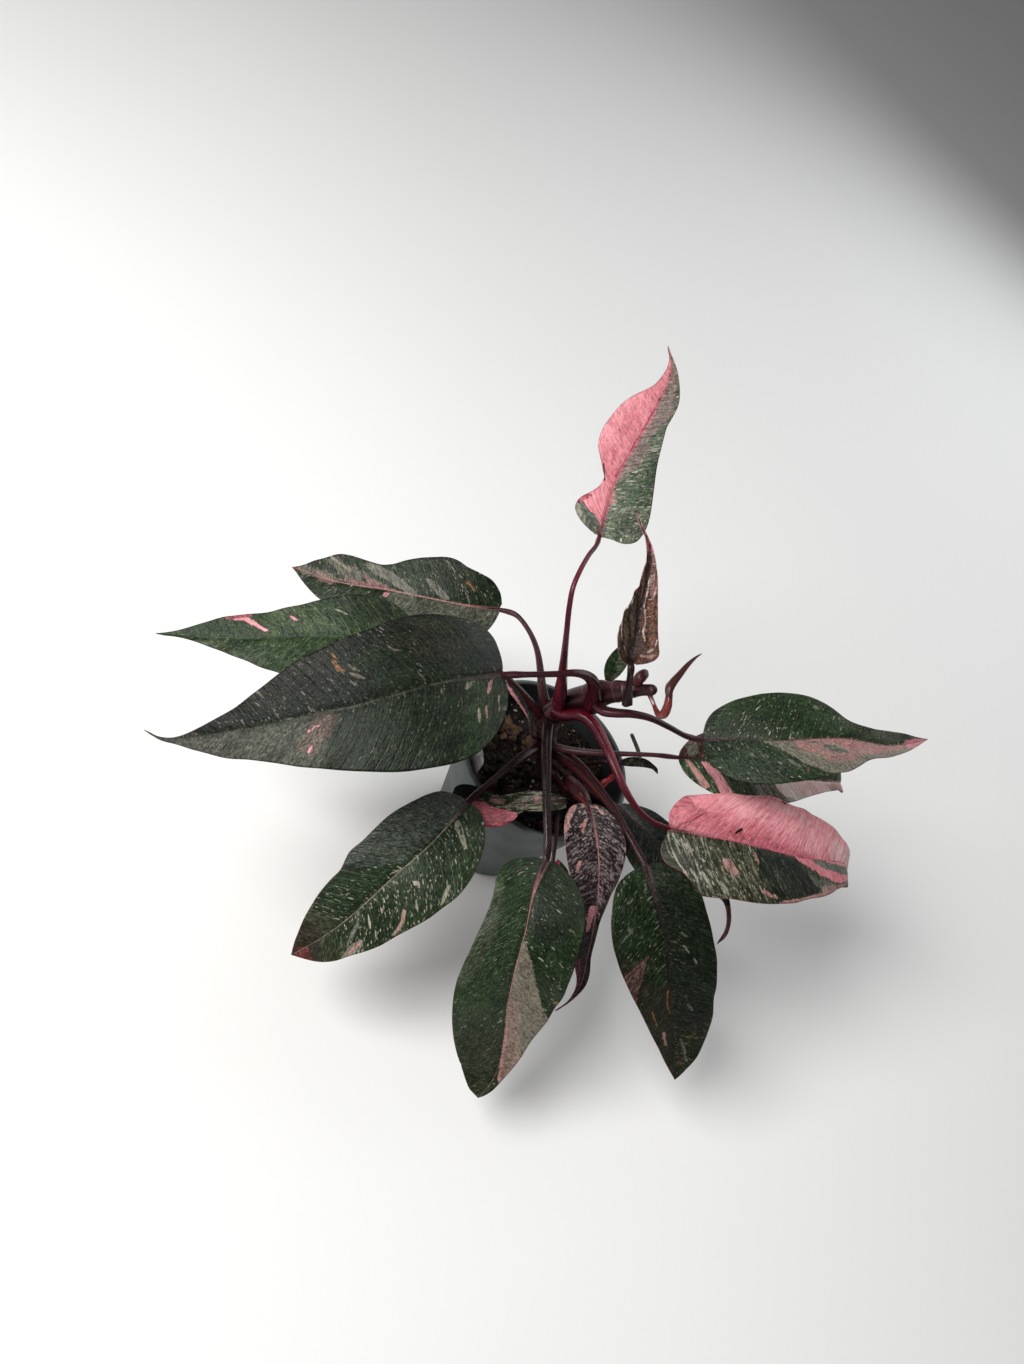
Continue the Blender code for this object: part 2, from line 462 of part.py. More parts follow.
# plant label: lower end in the mix, then out over the rim (metres)
LABEL_PATH = [(-0.0290, -0.0345, 0.070), (-0.0309, -0.0367, 0.098), (-0.0325, -0.0387, 0.112),
              (-0.0364, -0.0433, 0.1195), (-0.0412, -0.0490, 0.1215)]


# ------------------------------------------------------------------
# builders
# ------------------------------------------------------------------
def start():
    for ob in list(bpy.data.objects):
        bpy.data.objects.remove(ob, do_unlink=True)
    for me in list(bpy.data.meshes):
        bpy.data.meshes.remove(me)
    for cu in list(bpy.data.curves):
        bpy.data.curves.remove(cu)
    for co in list(bpy.data.collections):
        bpy.data.collections.remove(co)
    plant = bpy.data.collections.new("pink_princess_philodendron")
    cutters = bpy.data.collections.new("cutters")
    bpy.context.scene.collection.children.link(plant)
    bpy.context.scene.collection.children.link(cutters)
    return plant, cutters


def material(name, rgb, roughness=0.5, metallic=0.0):
    mat = bpy.data.materials.new(name)
    mat.use_nodes = True
    node = mat.node_tree.nodes["Principled BSDF"]
    node.inputs["Base Color"].default_value = (*rgb, 1.0)
    node.inputs["Roughness"].default_value = roughness
    node.inputs["Metallic"].default_value = metallic
    mat.diffuse_color = (*rgb, 1.0)
    return mat


def add(collection, name, data, mat=None):
    ob = bpy.data.objects.new(name, data)
    collection.objects.link(ob)
    if mat is not None:
        data.materials.append(mat)
    return ob


def turned(collection, name, profile, steps, mat=None):
    """Closed profile (radius, height) turned about Z."""
    me = bpy.data.meshes.new(name)
    n = len(profile)
    closed = profile[0][0] > 1e-9 or profile[-1][0] > 1e-9
    edges = [(i, i + 1) for i in range(n - 1)]
    if closed:
        edges.append((n - 1, 0))
    me.from_pydata([(r, 0.0, z) for r, z in profile], edges, [])
    ob = add(collection, name, me, mat)
    m = ob.modifiers.new("turn", "SCREW")
    m.axis = "Z"
    m.steps = steps
    m.render_steps = steps
    m.use_merge_vertices = True
    m.merge_threshold = 0.00005
    m.use_smooth_shade = False
    return ob


def tube(collection, name, points, radii, mat, sides=2):
    """Stalk: a poly-line curve with a round section and filled caps."""
    cu = bpy.data.curves.new(name, "CURVE")
    cu.dimensions = "3D"
    cu.bevel_depth = 1.0
    cu.bevel_resolution = sides
    cu.use_fill_caps = True
    sp = cu.splines.new("POLY")
    sp.points.add(len(points) - 1)
    for i, (p, r) in enumerate(zip(points, radii)):
        sp.points[i].co = (p[0], p[1], p[2], 1.0)
        sp.points[i].radius = r
    return add(collection, name, cu, mat)


def cut(ob, cutter):
    m = ob.modifiers.new("cut", "BOOLEAN")
    m.operation = "DIFFERENCE"
    m.solver = "EXACT"
    m.object = cutter
    cutter.hide_render = True
    cutter.display_type = "WIRE"


def cylinder(collection, name, r, h, loc, verts=16):
    me = bpy.data.meshes.new(name)
    bm = bmesh.new()
    bmesh.ops.create_cone(bm, cap_ends=True, cap_tris=False, segments=verts, radius1=r, radius2=r, depth=h)
    bm.to_mesh(me)
    bm.free()
    ob = add(collection, name, me)
    ob.location = loc
    return ob


def stem_curve(n):
    return smooth([at_y(*p) for p in STEM], n)


def stem_radius(f):
    return STEM_R_LOW + (STEM_R_TOP - STEM_R_LOW) * min(max((f - 0.25) / 0.6, 0.0), 1.0)


def build_pot(plant, cutters):
    H, W = POT_HEIGHT, POT_WALL
    lip_z = H - LIP_DEPTH
    profile = [
        (0.0, 0.0), (POT_BASE_R - 0.0012, 0.0), (POT_BASE_R, 0.0012),
        (POT_BODY_R, lip_z), (POT_RIM_R - 0.0008, lip_z), (POT_RIM_R, lip_z + 0.0010),
        (POT_RIM_R, H - 0.0012), (POT_RIM_R - 0.0010, H), (POT_RIM_R - 0.0030, H),
        (POT_BODY_R - W, lip_z - 0.0005), (POT_BASE_R - W + 0.0001, FLOOR_THICK + 0.0012),
        (POT_BASE_R - W - 0.0010, FLOOR_THICK), (0.0, FLOOR_THICK)]
    pot = turned(plant, "nursery_pot", profile[::-1], 48, material("pot_plastic", (0.075, 0.085, 0.088), 0.55))
    for i in range(DRAIN_HOLES):
        a = 2 * math.pi * (i + 0.5) / DRAIN_HOLES + 0.047
        c = cylinder(cutters, "drain_%d" % i, DRAIN_HOLE_R, 0.02,
                     (DRAIN_HOLE_PITCH_R * math.cos(a), DRAIN_HOLE_PITCH_R * math.sin(a), 0.0), 12)
        cut(pot, c)
    return pot


def inner_radius(z):
    """Inside radius of the pot's wall at a height."""
    z0, z1 = FLOOR_THICK + 0.0012, POT_HEIGHT - LIP_DEPTH - 0.0005
    r0, r1 = POT_BASE_R - POT_WALL + 0.0001, POT_BODY_R - POT_WALL
    return r0 + (r1 - r0) * (z - z0) / (z1 - z0)


def build_soil(plant, cutters):
    top = POT_HEIGHT - SOIL_DROP
    low = FLOOR_THICK + GAP
    r = lambda z: inner_radius(z) - GAP * 1.6
    profile = [(0.0, low), (r(low + 0.0015) - 0.0014, low), (r(low + 0.0018), low + 0.0018),
               (r(top), top - 0.0008), (r(top) - 0.003, top + 0.0006), (0.040, top - 0.0012), (0.026, top + 0.0008),
               (0.012, top + 0.0022), (0.0, top + 0.0024)]
    soil = turned(plant, "potting_mix", profile[::-1], 32, material("potting_mix", (0.05, 0.035, 0.028), 0.95))
    return soil


def build_stem(plant, cutters, soil):
    pts = stem_curve(26)
    foot = pts[0].copy()
    foot[2] = POT_HEIGHT - SOIL_DROP - STEM_SOCKET
    foot[0] -= 0.0005
    path = [foot] + list(pts)
    n = len(pts) - 1
    radii = [STEM_R_LOW * 0.95] + [stem_radius(i / n) for i in range(n + 1)]
    radii[-1] *= 0.62
    tube(plant, "main_stem", path, radii, material("stem_bark", (0.13, 0.045, 0.055), 0.45), 3)
    socket = [foot - np.array([0, 0, GAP])] + list(pts[:5])
    sr = [STEM_R_LOW + GAP * 1.2] * len(socket)
    c = tube(cutters, "stem_socket_curve", socket, sr, None, 3)
    # the cutter is made a mesh with welded caps
    dg = bpy.context.evaluated_depsgraph_get()
    me = bpy.data.meshes.new_from_object(c.evaluated_get(dg))
    bm = bmesh.new()
    bm.from_mesh(me)
    bmesh.ops.remove_doubles(bm, verts=bm.verts, dist=0.00005)
    bmesh.ops.recalc_face_normals(bm, faces=bm.faces)
    bm.to_mesh(me)
    bm.free()
    ob = add(cutters, "stem_socket", me)
    ob.matrix_world = c.matrix_world
    bpy.data.objects.remove(c, do_unlink=True)
    cut(soil, ob)
    return pts


def stem_place(pts, px, py):
    """Nearest point of the stem to a picture position, and its fraction."""
    q = picture(pts)
    i = int(np.argmin(((q - np.array([px, py])) ** 2).sum(1)))
    return pts[i], unit(pts[min(i + 1, len(pts) - 1)] - pts[max(i - 1, 0)]), i / (len(pts) - 1)


def leaf_blade(name):
    d = LEAVES[name]
    blade = Blade(d["mid"], d["roll"], d["fold"], d["curl"], d.get("up", (0, 0, 1)), d.get("place", at_z),
                  d.get("tail", ()))
    sides = [blade.margin(d[key], ROWS, d.get(key + "_tail", ()), d.get("s_max", 1.0)) for key in "ab"]
    sides.sort(key=lambda m: m[len(m) // 2, 1])
    return blade, sides


def build_leaf(plant, name, mat):
    blade, sides = leaf_blade(name)
    grid = blade_grid(blade, sides, ROWS, COLS)
    rows, cols = grid.shape[:2]
    bm = bmesh.new()
    v = [[bm.verts.new(grid[i, j]) for j in range(cols)] for i in range(rows)]
    for i in range(rows - 1):
        for j in range(cols - 1):
            bm.faces.new((v[i][j], v[i][j + 1], v[i + 1][j + 1], v[i + 1][j]))
    bmesh.ops.remove_doubles(bm, verts=bm.verts, dist=0.00009)
    bmesh.ops.dissolve_degenerate(bm, edges=bm.edges, dist=0.00005)
    bmesh.ops.triangulate(bm, faces=[f for f in bm.faces if len(f.verts) > 4])
    me = bpy.data.meshes.new(name + "_blade")
    bm.to_mesh(me)
    bm.free()
    ob = add(plant, name + "_blade", me, mat)
    m = ob.modifiers.new("thickness", "SOLIDIFY")
    m.thickness = BLADE_THICK
    m.offset = -1.0
    m.use_even_offset = False
    return ob, blade


def build_stalk(plant, name, blade, stem_pts, mat):
    node, pts, r0, r1 = STALKS[name]
    r0, r1 = r0 * 0.001, r1 * 0.001
    world = [at_z(*p) for p in pts]
    ctrl = []
    if node is not None:
        c, t, f = stem_place(stem_pts, *node)
        out = world[0] - c
        out = unit(out - t * (out @ t))
        ctrl.append(c + out * (stem_radius(f) + r0 + GAP * 1.5))
    # stops just short of the foot of the blade
    foot = blade.mid[0] - blade.n[0] * (BLADE_THICK / 2)
    d = unit(foot - world[-1])
    across = math.sqrt(max(0.0, 1 - (d @ blade.t[0]) ** 2))
    ctrl += world + [foot - d * (GAP * 2 + BLADE_THICK / 2 * abs(d @ blade.n[0]) + r1 * across)]
    total = np.linalg.norm(np.diff(np.array(ctrl), axis=0), axis=1).sum()
    n = max(3, int(total / 0.011))
    line = smooth(ctrl, n)
    radii = [r0 + (r1 - r0) * (i / n) ** 0.7 for i in range(n + 1)]
    radii[0] = r0
    return tube(plant, name + "_stalk", line, radii, mat)


def build_label(plant, cutters, soil):
    path = smooth(LABEL_PATH, 10)
    out = unit(np.array([path[-1][0], path[-1][1], 0.0]))
    side = np.array([-out[1], out[0], 0.0])
    bm = bmesh.new()
    rows = [[bm.verts.new(p + side * w) for w in (-LABEL_WIDTH / 2, LABEL_WIDTH / 2)] for p in path]
    for i in range(len(rows) - 1):
        bm.faces.new((rows[i][0], rows[i][1], rows[i + 1][1], rows[i + 1][0]))
    me = bpy.data.meshes.new("plant_label")
    bm.to_mesh(me)
    bm.free()
    ob = add(plant, "plant_label", me, material("label_plastic", (0.75, 0.75, 0.74), 0.4))
    m = ob.modifiers.new("thickness", "SOLIDIFY")
    m.thickness = LABEL_THICK
    m.offset = 0.0
    # slot in the mix, a clearance wider all round
    me2 = bpy.data.meshes.new("label_slot")
    bm = bmesh.new()
    bmesh.ops.create_cube(bm, size=1.0)
    bm.to_mesh(me2)
    bm.free()
    slot = add(cutters, "label_slot", me2)
    a, b = path[0], path[0] + (path[1] - path[0]) * 6.0
    axis = unit(b - a)
    depth = 0.040
    nrm = unit(np.cross(side, axis))
    mid = a + axis * (depth / 2 - GAP * 2)
    rot = Matrix((Vector(side), Vector(nrm), Vector(axis))).transposed().to_4x4()
    slot.matrix_world = Matrix.Translation(Vector(mid)) @ rot @ Matrix.Diagonal(
        (LABEL_WIDTH + 2 * GAP, LABEL_THICK + 2.6 * GAP, depth, 1.0))
    cut(soil, slot)
    return ob


def main():
    plant, cutters = start()
    blade_green = (0.045, 0.075, 0.045)
    blade_pink = (0.62, 0.26, 0.32)
    tones = {"leaf_01": blade_pink, "leaf_05": blade_pink, "leaf_17": blade_pink, "leaf_02": (0.25, 0.13, 0.09),
             "leaf_04": (0.25, 0.22, 0.18), "leaf_08": (0.08, 0.05, 0.06), "leaf_11": (0.03, 0.042, 0.04)}
    build_pot(plant, cutters)
    soil = build_soil(plant, cutters)
    stem = build_stem(plant, cutters, soil)
    build_label(plant, cutters, soil)
    for name in LEAVES:
        mat = material(name + "_blade", tones.get(name, blade_green), 0.38)
        ob, blade = build_leaf(plant, name, mat)
        build_stalk(plant, name, blade, stem, material(name + "_stalk", (0.17, 0.05, 0.065), 0.45))
    red = material("sheath_red", (0.42, 0.06, 0.07), 0.4)
    tube(plant, "new_leaf_sheath", smooth([at_z(*p) for p in SHEATH], 10),
         np.interp(np.linspace(0, 5, 11), range(6), SHEATH_R) * 0.001, red)
    tube(plant, "dry_stub", smooth([at_z(*p) for p in STUB], 6),
         np.interp(np.linspace(0, 2, 7), range(3), STUB_R) * 0.001, material("stub_olive", (0.2, 0.17, 0.12), 0.7))
    tube(plant, "new_leaf_spike", smooth([at_z(*p) for p in SPIKE], 8),
         np.interp(np.linspace(0, 4, 9), range(5), SPIKE_R) * 0.001, material("spike_red", (0.2, 0.05, 0.06), 0.4))
    tube(plant, "stem_bud", smooth([at_z(*p) for p in BUD], 5),
         np.interp(np.linspace(0, 3, 6), range(4), BUD_R) * 0.001, material("bud_red", (0.3, 0.03, 0.05), 0.4))


main()
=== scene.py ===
import bpy
import json
import math
import numpy as np
from mathutils import Matrix, Vector

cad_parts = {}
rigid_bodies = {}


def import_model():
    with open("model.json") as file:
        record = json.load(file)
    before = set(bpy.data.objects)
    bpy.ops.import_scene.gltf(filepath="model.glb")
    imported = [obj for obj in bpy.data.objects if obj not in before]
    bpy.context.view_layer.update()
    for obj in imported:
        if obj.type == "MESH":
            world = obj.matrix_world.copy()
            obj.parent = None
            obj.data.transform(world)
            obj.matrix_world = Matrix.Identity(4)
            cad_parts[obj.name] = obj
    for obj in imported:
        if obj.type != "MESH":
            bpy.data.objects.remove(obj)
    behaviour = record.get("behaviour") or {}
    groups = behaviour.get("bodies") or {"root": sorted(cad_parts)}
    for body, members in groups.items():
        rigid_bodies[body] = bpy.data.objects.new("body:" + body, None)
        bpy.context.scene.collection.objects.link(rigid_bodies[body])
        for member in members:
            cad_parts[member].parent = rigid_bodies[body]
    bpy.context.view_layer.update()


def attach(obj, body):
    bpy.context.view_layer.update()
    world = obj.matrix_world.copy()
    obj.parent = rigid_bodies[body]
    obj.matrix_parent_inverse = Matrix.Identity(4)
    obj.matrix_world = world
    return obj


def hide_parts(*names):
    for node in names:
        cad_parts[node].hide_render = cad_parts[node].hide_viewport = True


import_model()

POT_HEIGHT = 0.105
POT_RIM_R = 0.060
POT_BODY_R = 0.0566
POT_BASE_R = 0.0385
POT_WALL = 0.0014
LIP_DEPTH = 0.0075
FLOOR_THICK = 0.0016
DRAIN_HOLES = 6
DRAIN_HOLE_R = 0.0045
DRAIN_HOLE_PITCH_R = 0.0245
SOIL_DROP = 0.017
STEM_R_LOW = 0.0058
STEM_R_TOP = 0.0038
LABEL_WIDTH = 0.016
LABEL_THICK = 0.0008


# ------------------------------------------------------------------
# reference view
# ------------------------------------------------------------------
VIEW_D, VIEW_EL, VIEW_ROLL = 0.6718, math.radians(48.82), math.radians(42.81)
VIEW_F, VIEW_C = 1025.0, (512.0, 682.0)
VIEW_RIM = (546.7, 756.6)


def view_axes():
    back = np.array([0.0, -math.cos(VIEW_EL), math.sin(VIEW_EL)])
    eye = back * VIEW_D + np.array([0, 0, POT_HEIGHT])
    fwd = -back
    right = np.array([1.0, 0.0, 0.0])
    up = np.cross(right, fwd)
    c, s = math.cos(VIEW_ROLL), math.sin(VIEW_ROLL)
    r = right * c + up * s
    u = -right * s + up * c
    n = np.array([(VIEW_RIM[0] - VIEW_C[0]) / VIEW_F, -(VIEW_RIM[1] - VIEW_C[1]) / VIEW_F, 1.0])
    n /= np.linalg.norm(n)
    a = np.cross([0, 0, 1.0], n)
    k = np.array([[0, -a[2], a[1]], [a[2], 0, -a[0]], [-a[1], a[0], 0]])
    rot = np.eye(3) + k + k @ k * ((1 - n[2]) / (a @ a))
    return eye, rot @ np.stack([r, u, fwd])


EYE, AXES = view_axes()


def sight(px, py):
    return AXES.T @ np.array([(px - VIEW_C[0]) / VIEW_F, -(py - VIEW_C[1]) / VIEW_F, 1.0])


def at_z(px, py, cm):
    d = sight(px, py)
    return EYE + d * ((POT_HEIGHT + cm * 0.01 - EYE[2]) / d[2])


def at_y(px, py, cm):
    d = sight(px, py)
    return EYE + d * ((cm * 0.01 - EYE[1]) / d[1])


def picture(p):
    v = (np.asarray(p) - EYE) @ AXES.T
    return np.stack([VIEW_C[0] + VIEW_F * v[..., 0] / v[..., 2],
                     VIEW_C[1] - VIEW_F * v[..., 1] / v[..., 2]], -1)


# ------------------------------------------------------------------
# smooth curves through measured points
# ------------------------------------------------------------------
def unit(v):
    return v / (np.linalg.norm(v) + 1e-12)


def units(v):
    return v / (np.linalg.norm(v, axis=-1, keepdims=True) + 1e-12)


def resample(dense, n):
    d = np.r_[0, np.cumsum(np.linalg.norm(np.diff(dense, axis=0), axis=1))]
    w = np.linspace(0, d[-1], n + 1)
    return np.stack([np.interp(w, d, dense[:, k]) for k in range(dense.shape[1])], -1)


def smooth(points, n):
    """Centripetal Catmull-Rom curve through the points, n+1 even samples."""
    p = np.asarray(points, float)
    if len(p) == 2:
        t = np.linspace(0, 1, n + 1)[:, None]
        return p[0] * (1 - t) + p[1] * t
    ext = np.vstack([2 * p[0] - p[1], p, 2 * p[-1] - p[-2]])
    out = []
    for i in range(len(p) - 1):
        p0, p1, p2, p3 = ext[i:i + 4]
        t0 = 0.0
        t1 = t0 + max(np.linalg.norm(p1 - p0), 1e-9) ** 0.5
        t2 = t1 + max(np.linalg.norm(p2 - p1), 1e-9) ** 0.5
        t3 = t2 + max(np.linalg.norm(p3 - p2), 1e-9) ** 0.5
        t = np.linspace(t1, t2, 25)[:-1, None]
        a1 = (t1 - t) / (t1 - t0) * p0 + (t - t0) / (t1 - t0) * p1
        a2 = (t2 - t) / (t2 - t1) * p1 + (t - t1) / (t2 - t1) * p2
        a3 = (t3 - t) / (t3 - t2) * p2 + (t - t2) / (t3 - t2) * p3
        b1 = (t2 - t) / (t2 - t0) * a1 + (t - t0) / (t2 - t0) * a2
        b2 = (t3 - t) / (t3 - t1) * a2 + (t - t1) / (t3 - t1) * a3
        out.append((t2 - t) / (t2 - t1) * b1 + (t - t1) / (t2 - t1) * b2)
    dense = np.vstack(out + [p[-1:]])
    return resample(dense, n)


class Blade:
    """mid: measured midrib points from the stalk to the tip; roll: tilt of the
    blade about its midrib; fold: rise of each half; curl: droop of the margins."""

    def __init__(self, mid, roll=0.0, fold=10.0, curl=0.10, up=(0, 0, 1), place=at_z, tail=()):
        pts = [place(*m) for m in mid]
        for step in tail:
            pts.append(pts[-1] + np.array(step) * 0.01)
        self.mid = smooth(pts, 160)
        n = len(self.mid)
        t = np.gradient(self.mid, axis=0)
        kernel = np.hanning(27)
        kernel /= kernel.sum()
        pad = np.vstack([np.repeat(t[:1], 13, 0), t, np.repeat(t[-1:], 13, 0)])
        t = np.stack([np.convolve(pad[:, k], kernel, "valid") for k in range(3)], -1)
        self.t = np.array([unit(v) for v in t])
        self.length = np.linalg.norm(np.diff(self.mid, axis=0), axis=1).sum()
        up = unit(np.array(up, float))
        side = [unit(np.cross(self.t[0], up))]
        for i in range(1, n):
            s = side[-1] - self.t[i] * (side[-1] @ self.t[i])
            side.append(unit(s))
        self.s = np.array(side)
        self.n = np.cross(self.s, self.t)
        c, s_ = math.cos(math.radians(roll)), math.sin(math.radians(roll))
        self.s, self.n = self.s * c + self.n * s_, self.n * c - self.s * s_
        self.fold = math.tan(math.radians(fold))
        self.curl = curl
        self.grid = np.linspace(0, 1, n)

    def mix(self, a, s):
        s = np.clip(s, 0, 1)
        return np.stack([np.interp(s, self.grid, a[:, k]) for k in range(3)], -1)

    def points(self, s, q):
        """Surface points for arrays of s and q."""
        over = (s - np.clip(s, 0, 1))[..., None]
        m = self.mix(self.mid, s) + self.mix(self.t, s) * over * self.length
        a = np.abs(q)[..., None]
        return m + self.mix(self.s, s) * q[..., None] + self.mix(self.n, s) * (self.fold * a - self.curl * a * a / 0.03)

    def point(self, s, q):
        return self.points(np.array([s], float), np.array([q], float))[0]

    def find(self, px, py, sign, s_max, guess=None):
        """Place (s, q) on one half of the blade seen at a picture position."""
        target = np.array([px, py], float)
        if guess is None:
            mp = picture(self.mid)
            i = int(np.argmin(((mp - target) ** 2).sum(1)))
            s = i / (len(self.mid) - 1)
            m = self.mid[i]
            e = picture(m + self.s[i] * 0.001) - picture(m)
            q = float((target - mp[i]) @ e / (e @ e)) * 0.001
        else:
            s, q = guess
        h = 1e-4
        for _ in range(40):
            f = picture(self.points(np.array([s, s + h, s]), np.array([q, q, q + h]))) - target
            if abs(f[0]).max() < 0.01:
                break
            j = np.stack([(f[1] - f[0]) / h, (f[2] - f[0]) / h], 1)
            step = np.linalg.lstsq(j, -f[0], rcond=None)[0]
            step = np.clip(step, [-0.08, -0.004], [0.08, 0.004])
            s = float(np.clip(s + step[0], -0.3, s_max))
            q = float(np.clip(q + step[1], -0.07, 0.07))
            if sign and q * sign < 0.0004:
                q = 0.0004 * sign
        return s, q

    def margin(self, outline, rows, tail=(), s_max=1.0):
        px = smooth(outline, 72)
        sign = 0.0
        for k in (20, 28, 36):
            sign += math.copysign(1.0, self.find(*px[k], 0.0, s_max)[1])
        sign = math.copysign(1.0, sign)
        sq = []
        for p in px:
            sq.append(self.find(*p, sign, s_max, sq[-1] if sq else None))
        sq = np.array(sq)
        if len(tail):
            sq = np.vstack([sq, [(a, b * 0.01 * sign) for a, b in tail]])
        else:
            sq[-1] = (1.0, 0.0)
        scale = np.array([self.length, 1.0])
        return resample(sq * scale, rows) / scale


def stem_curve(n):
    return smooth([at_y(*p) for p in STEM], n)


def stem_radius(f):
    return STEM_R_LOW + (STEM_R_TOP - STEM_R_LOW) * min(max((f - 0.25) / 0.6, 0.0), 1.0)


def stem_place(pts, px, py):
    q = picture(pts)
    i = int(np.argmin(((q - np.array([px, py])) ** 2).sum(1)))
    return pts[i], unit(pts[min(i + 1, len(pts) - 1)] - pts[max(i - 1, 0)]), i / (len(pts) - 1)


# ------------------------------------------------------------------
# measured plant
# ------------------------------------------------------------------
# stem, from the soil to the growing tip: column, row, cm behind the pot axis
STEM = [(545.5, 768, 0.0), (546, 745, 0.0), (549, 722, 0.1), (560, 706, 0.3), (588, 696, 0.5),
        (613, 692, 0.6), (640, 690, 0.6), (657, 690, 0.6)]

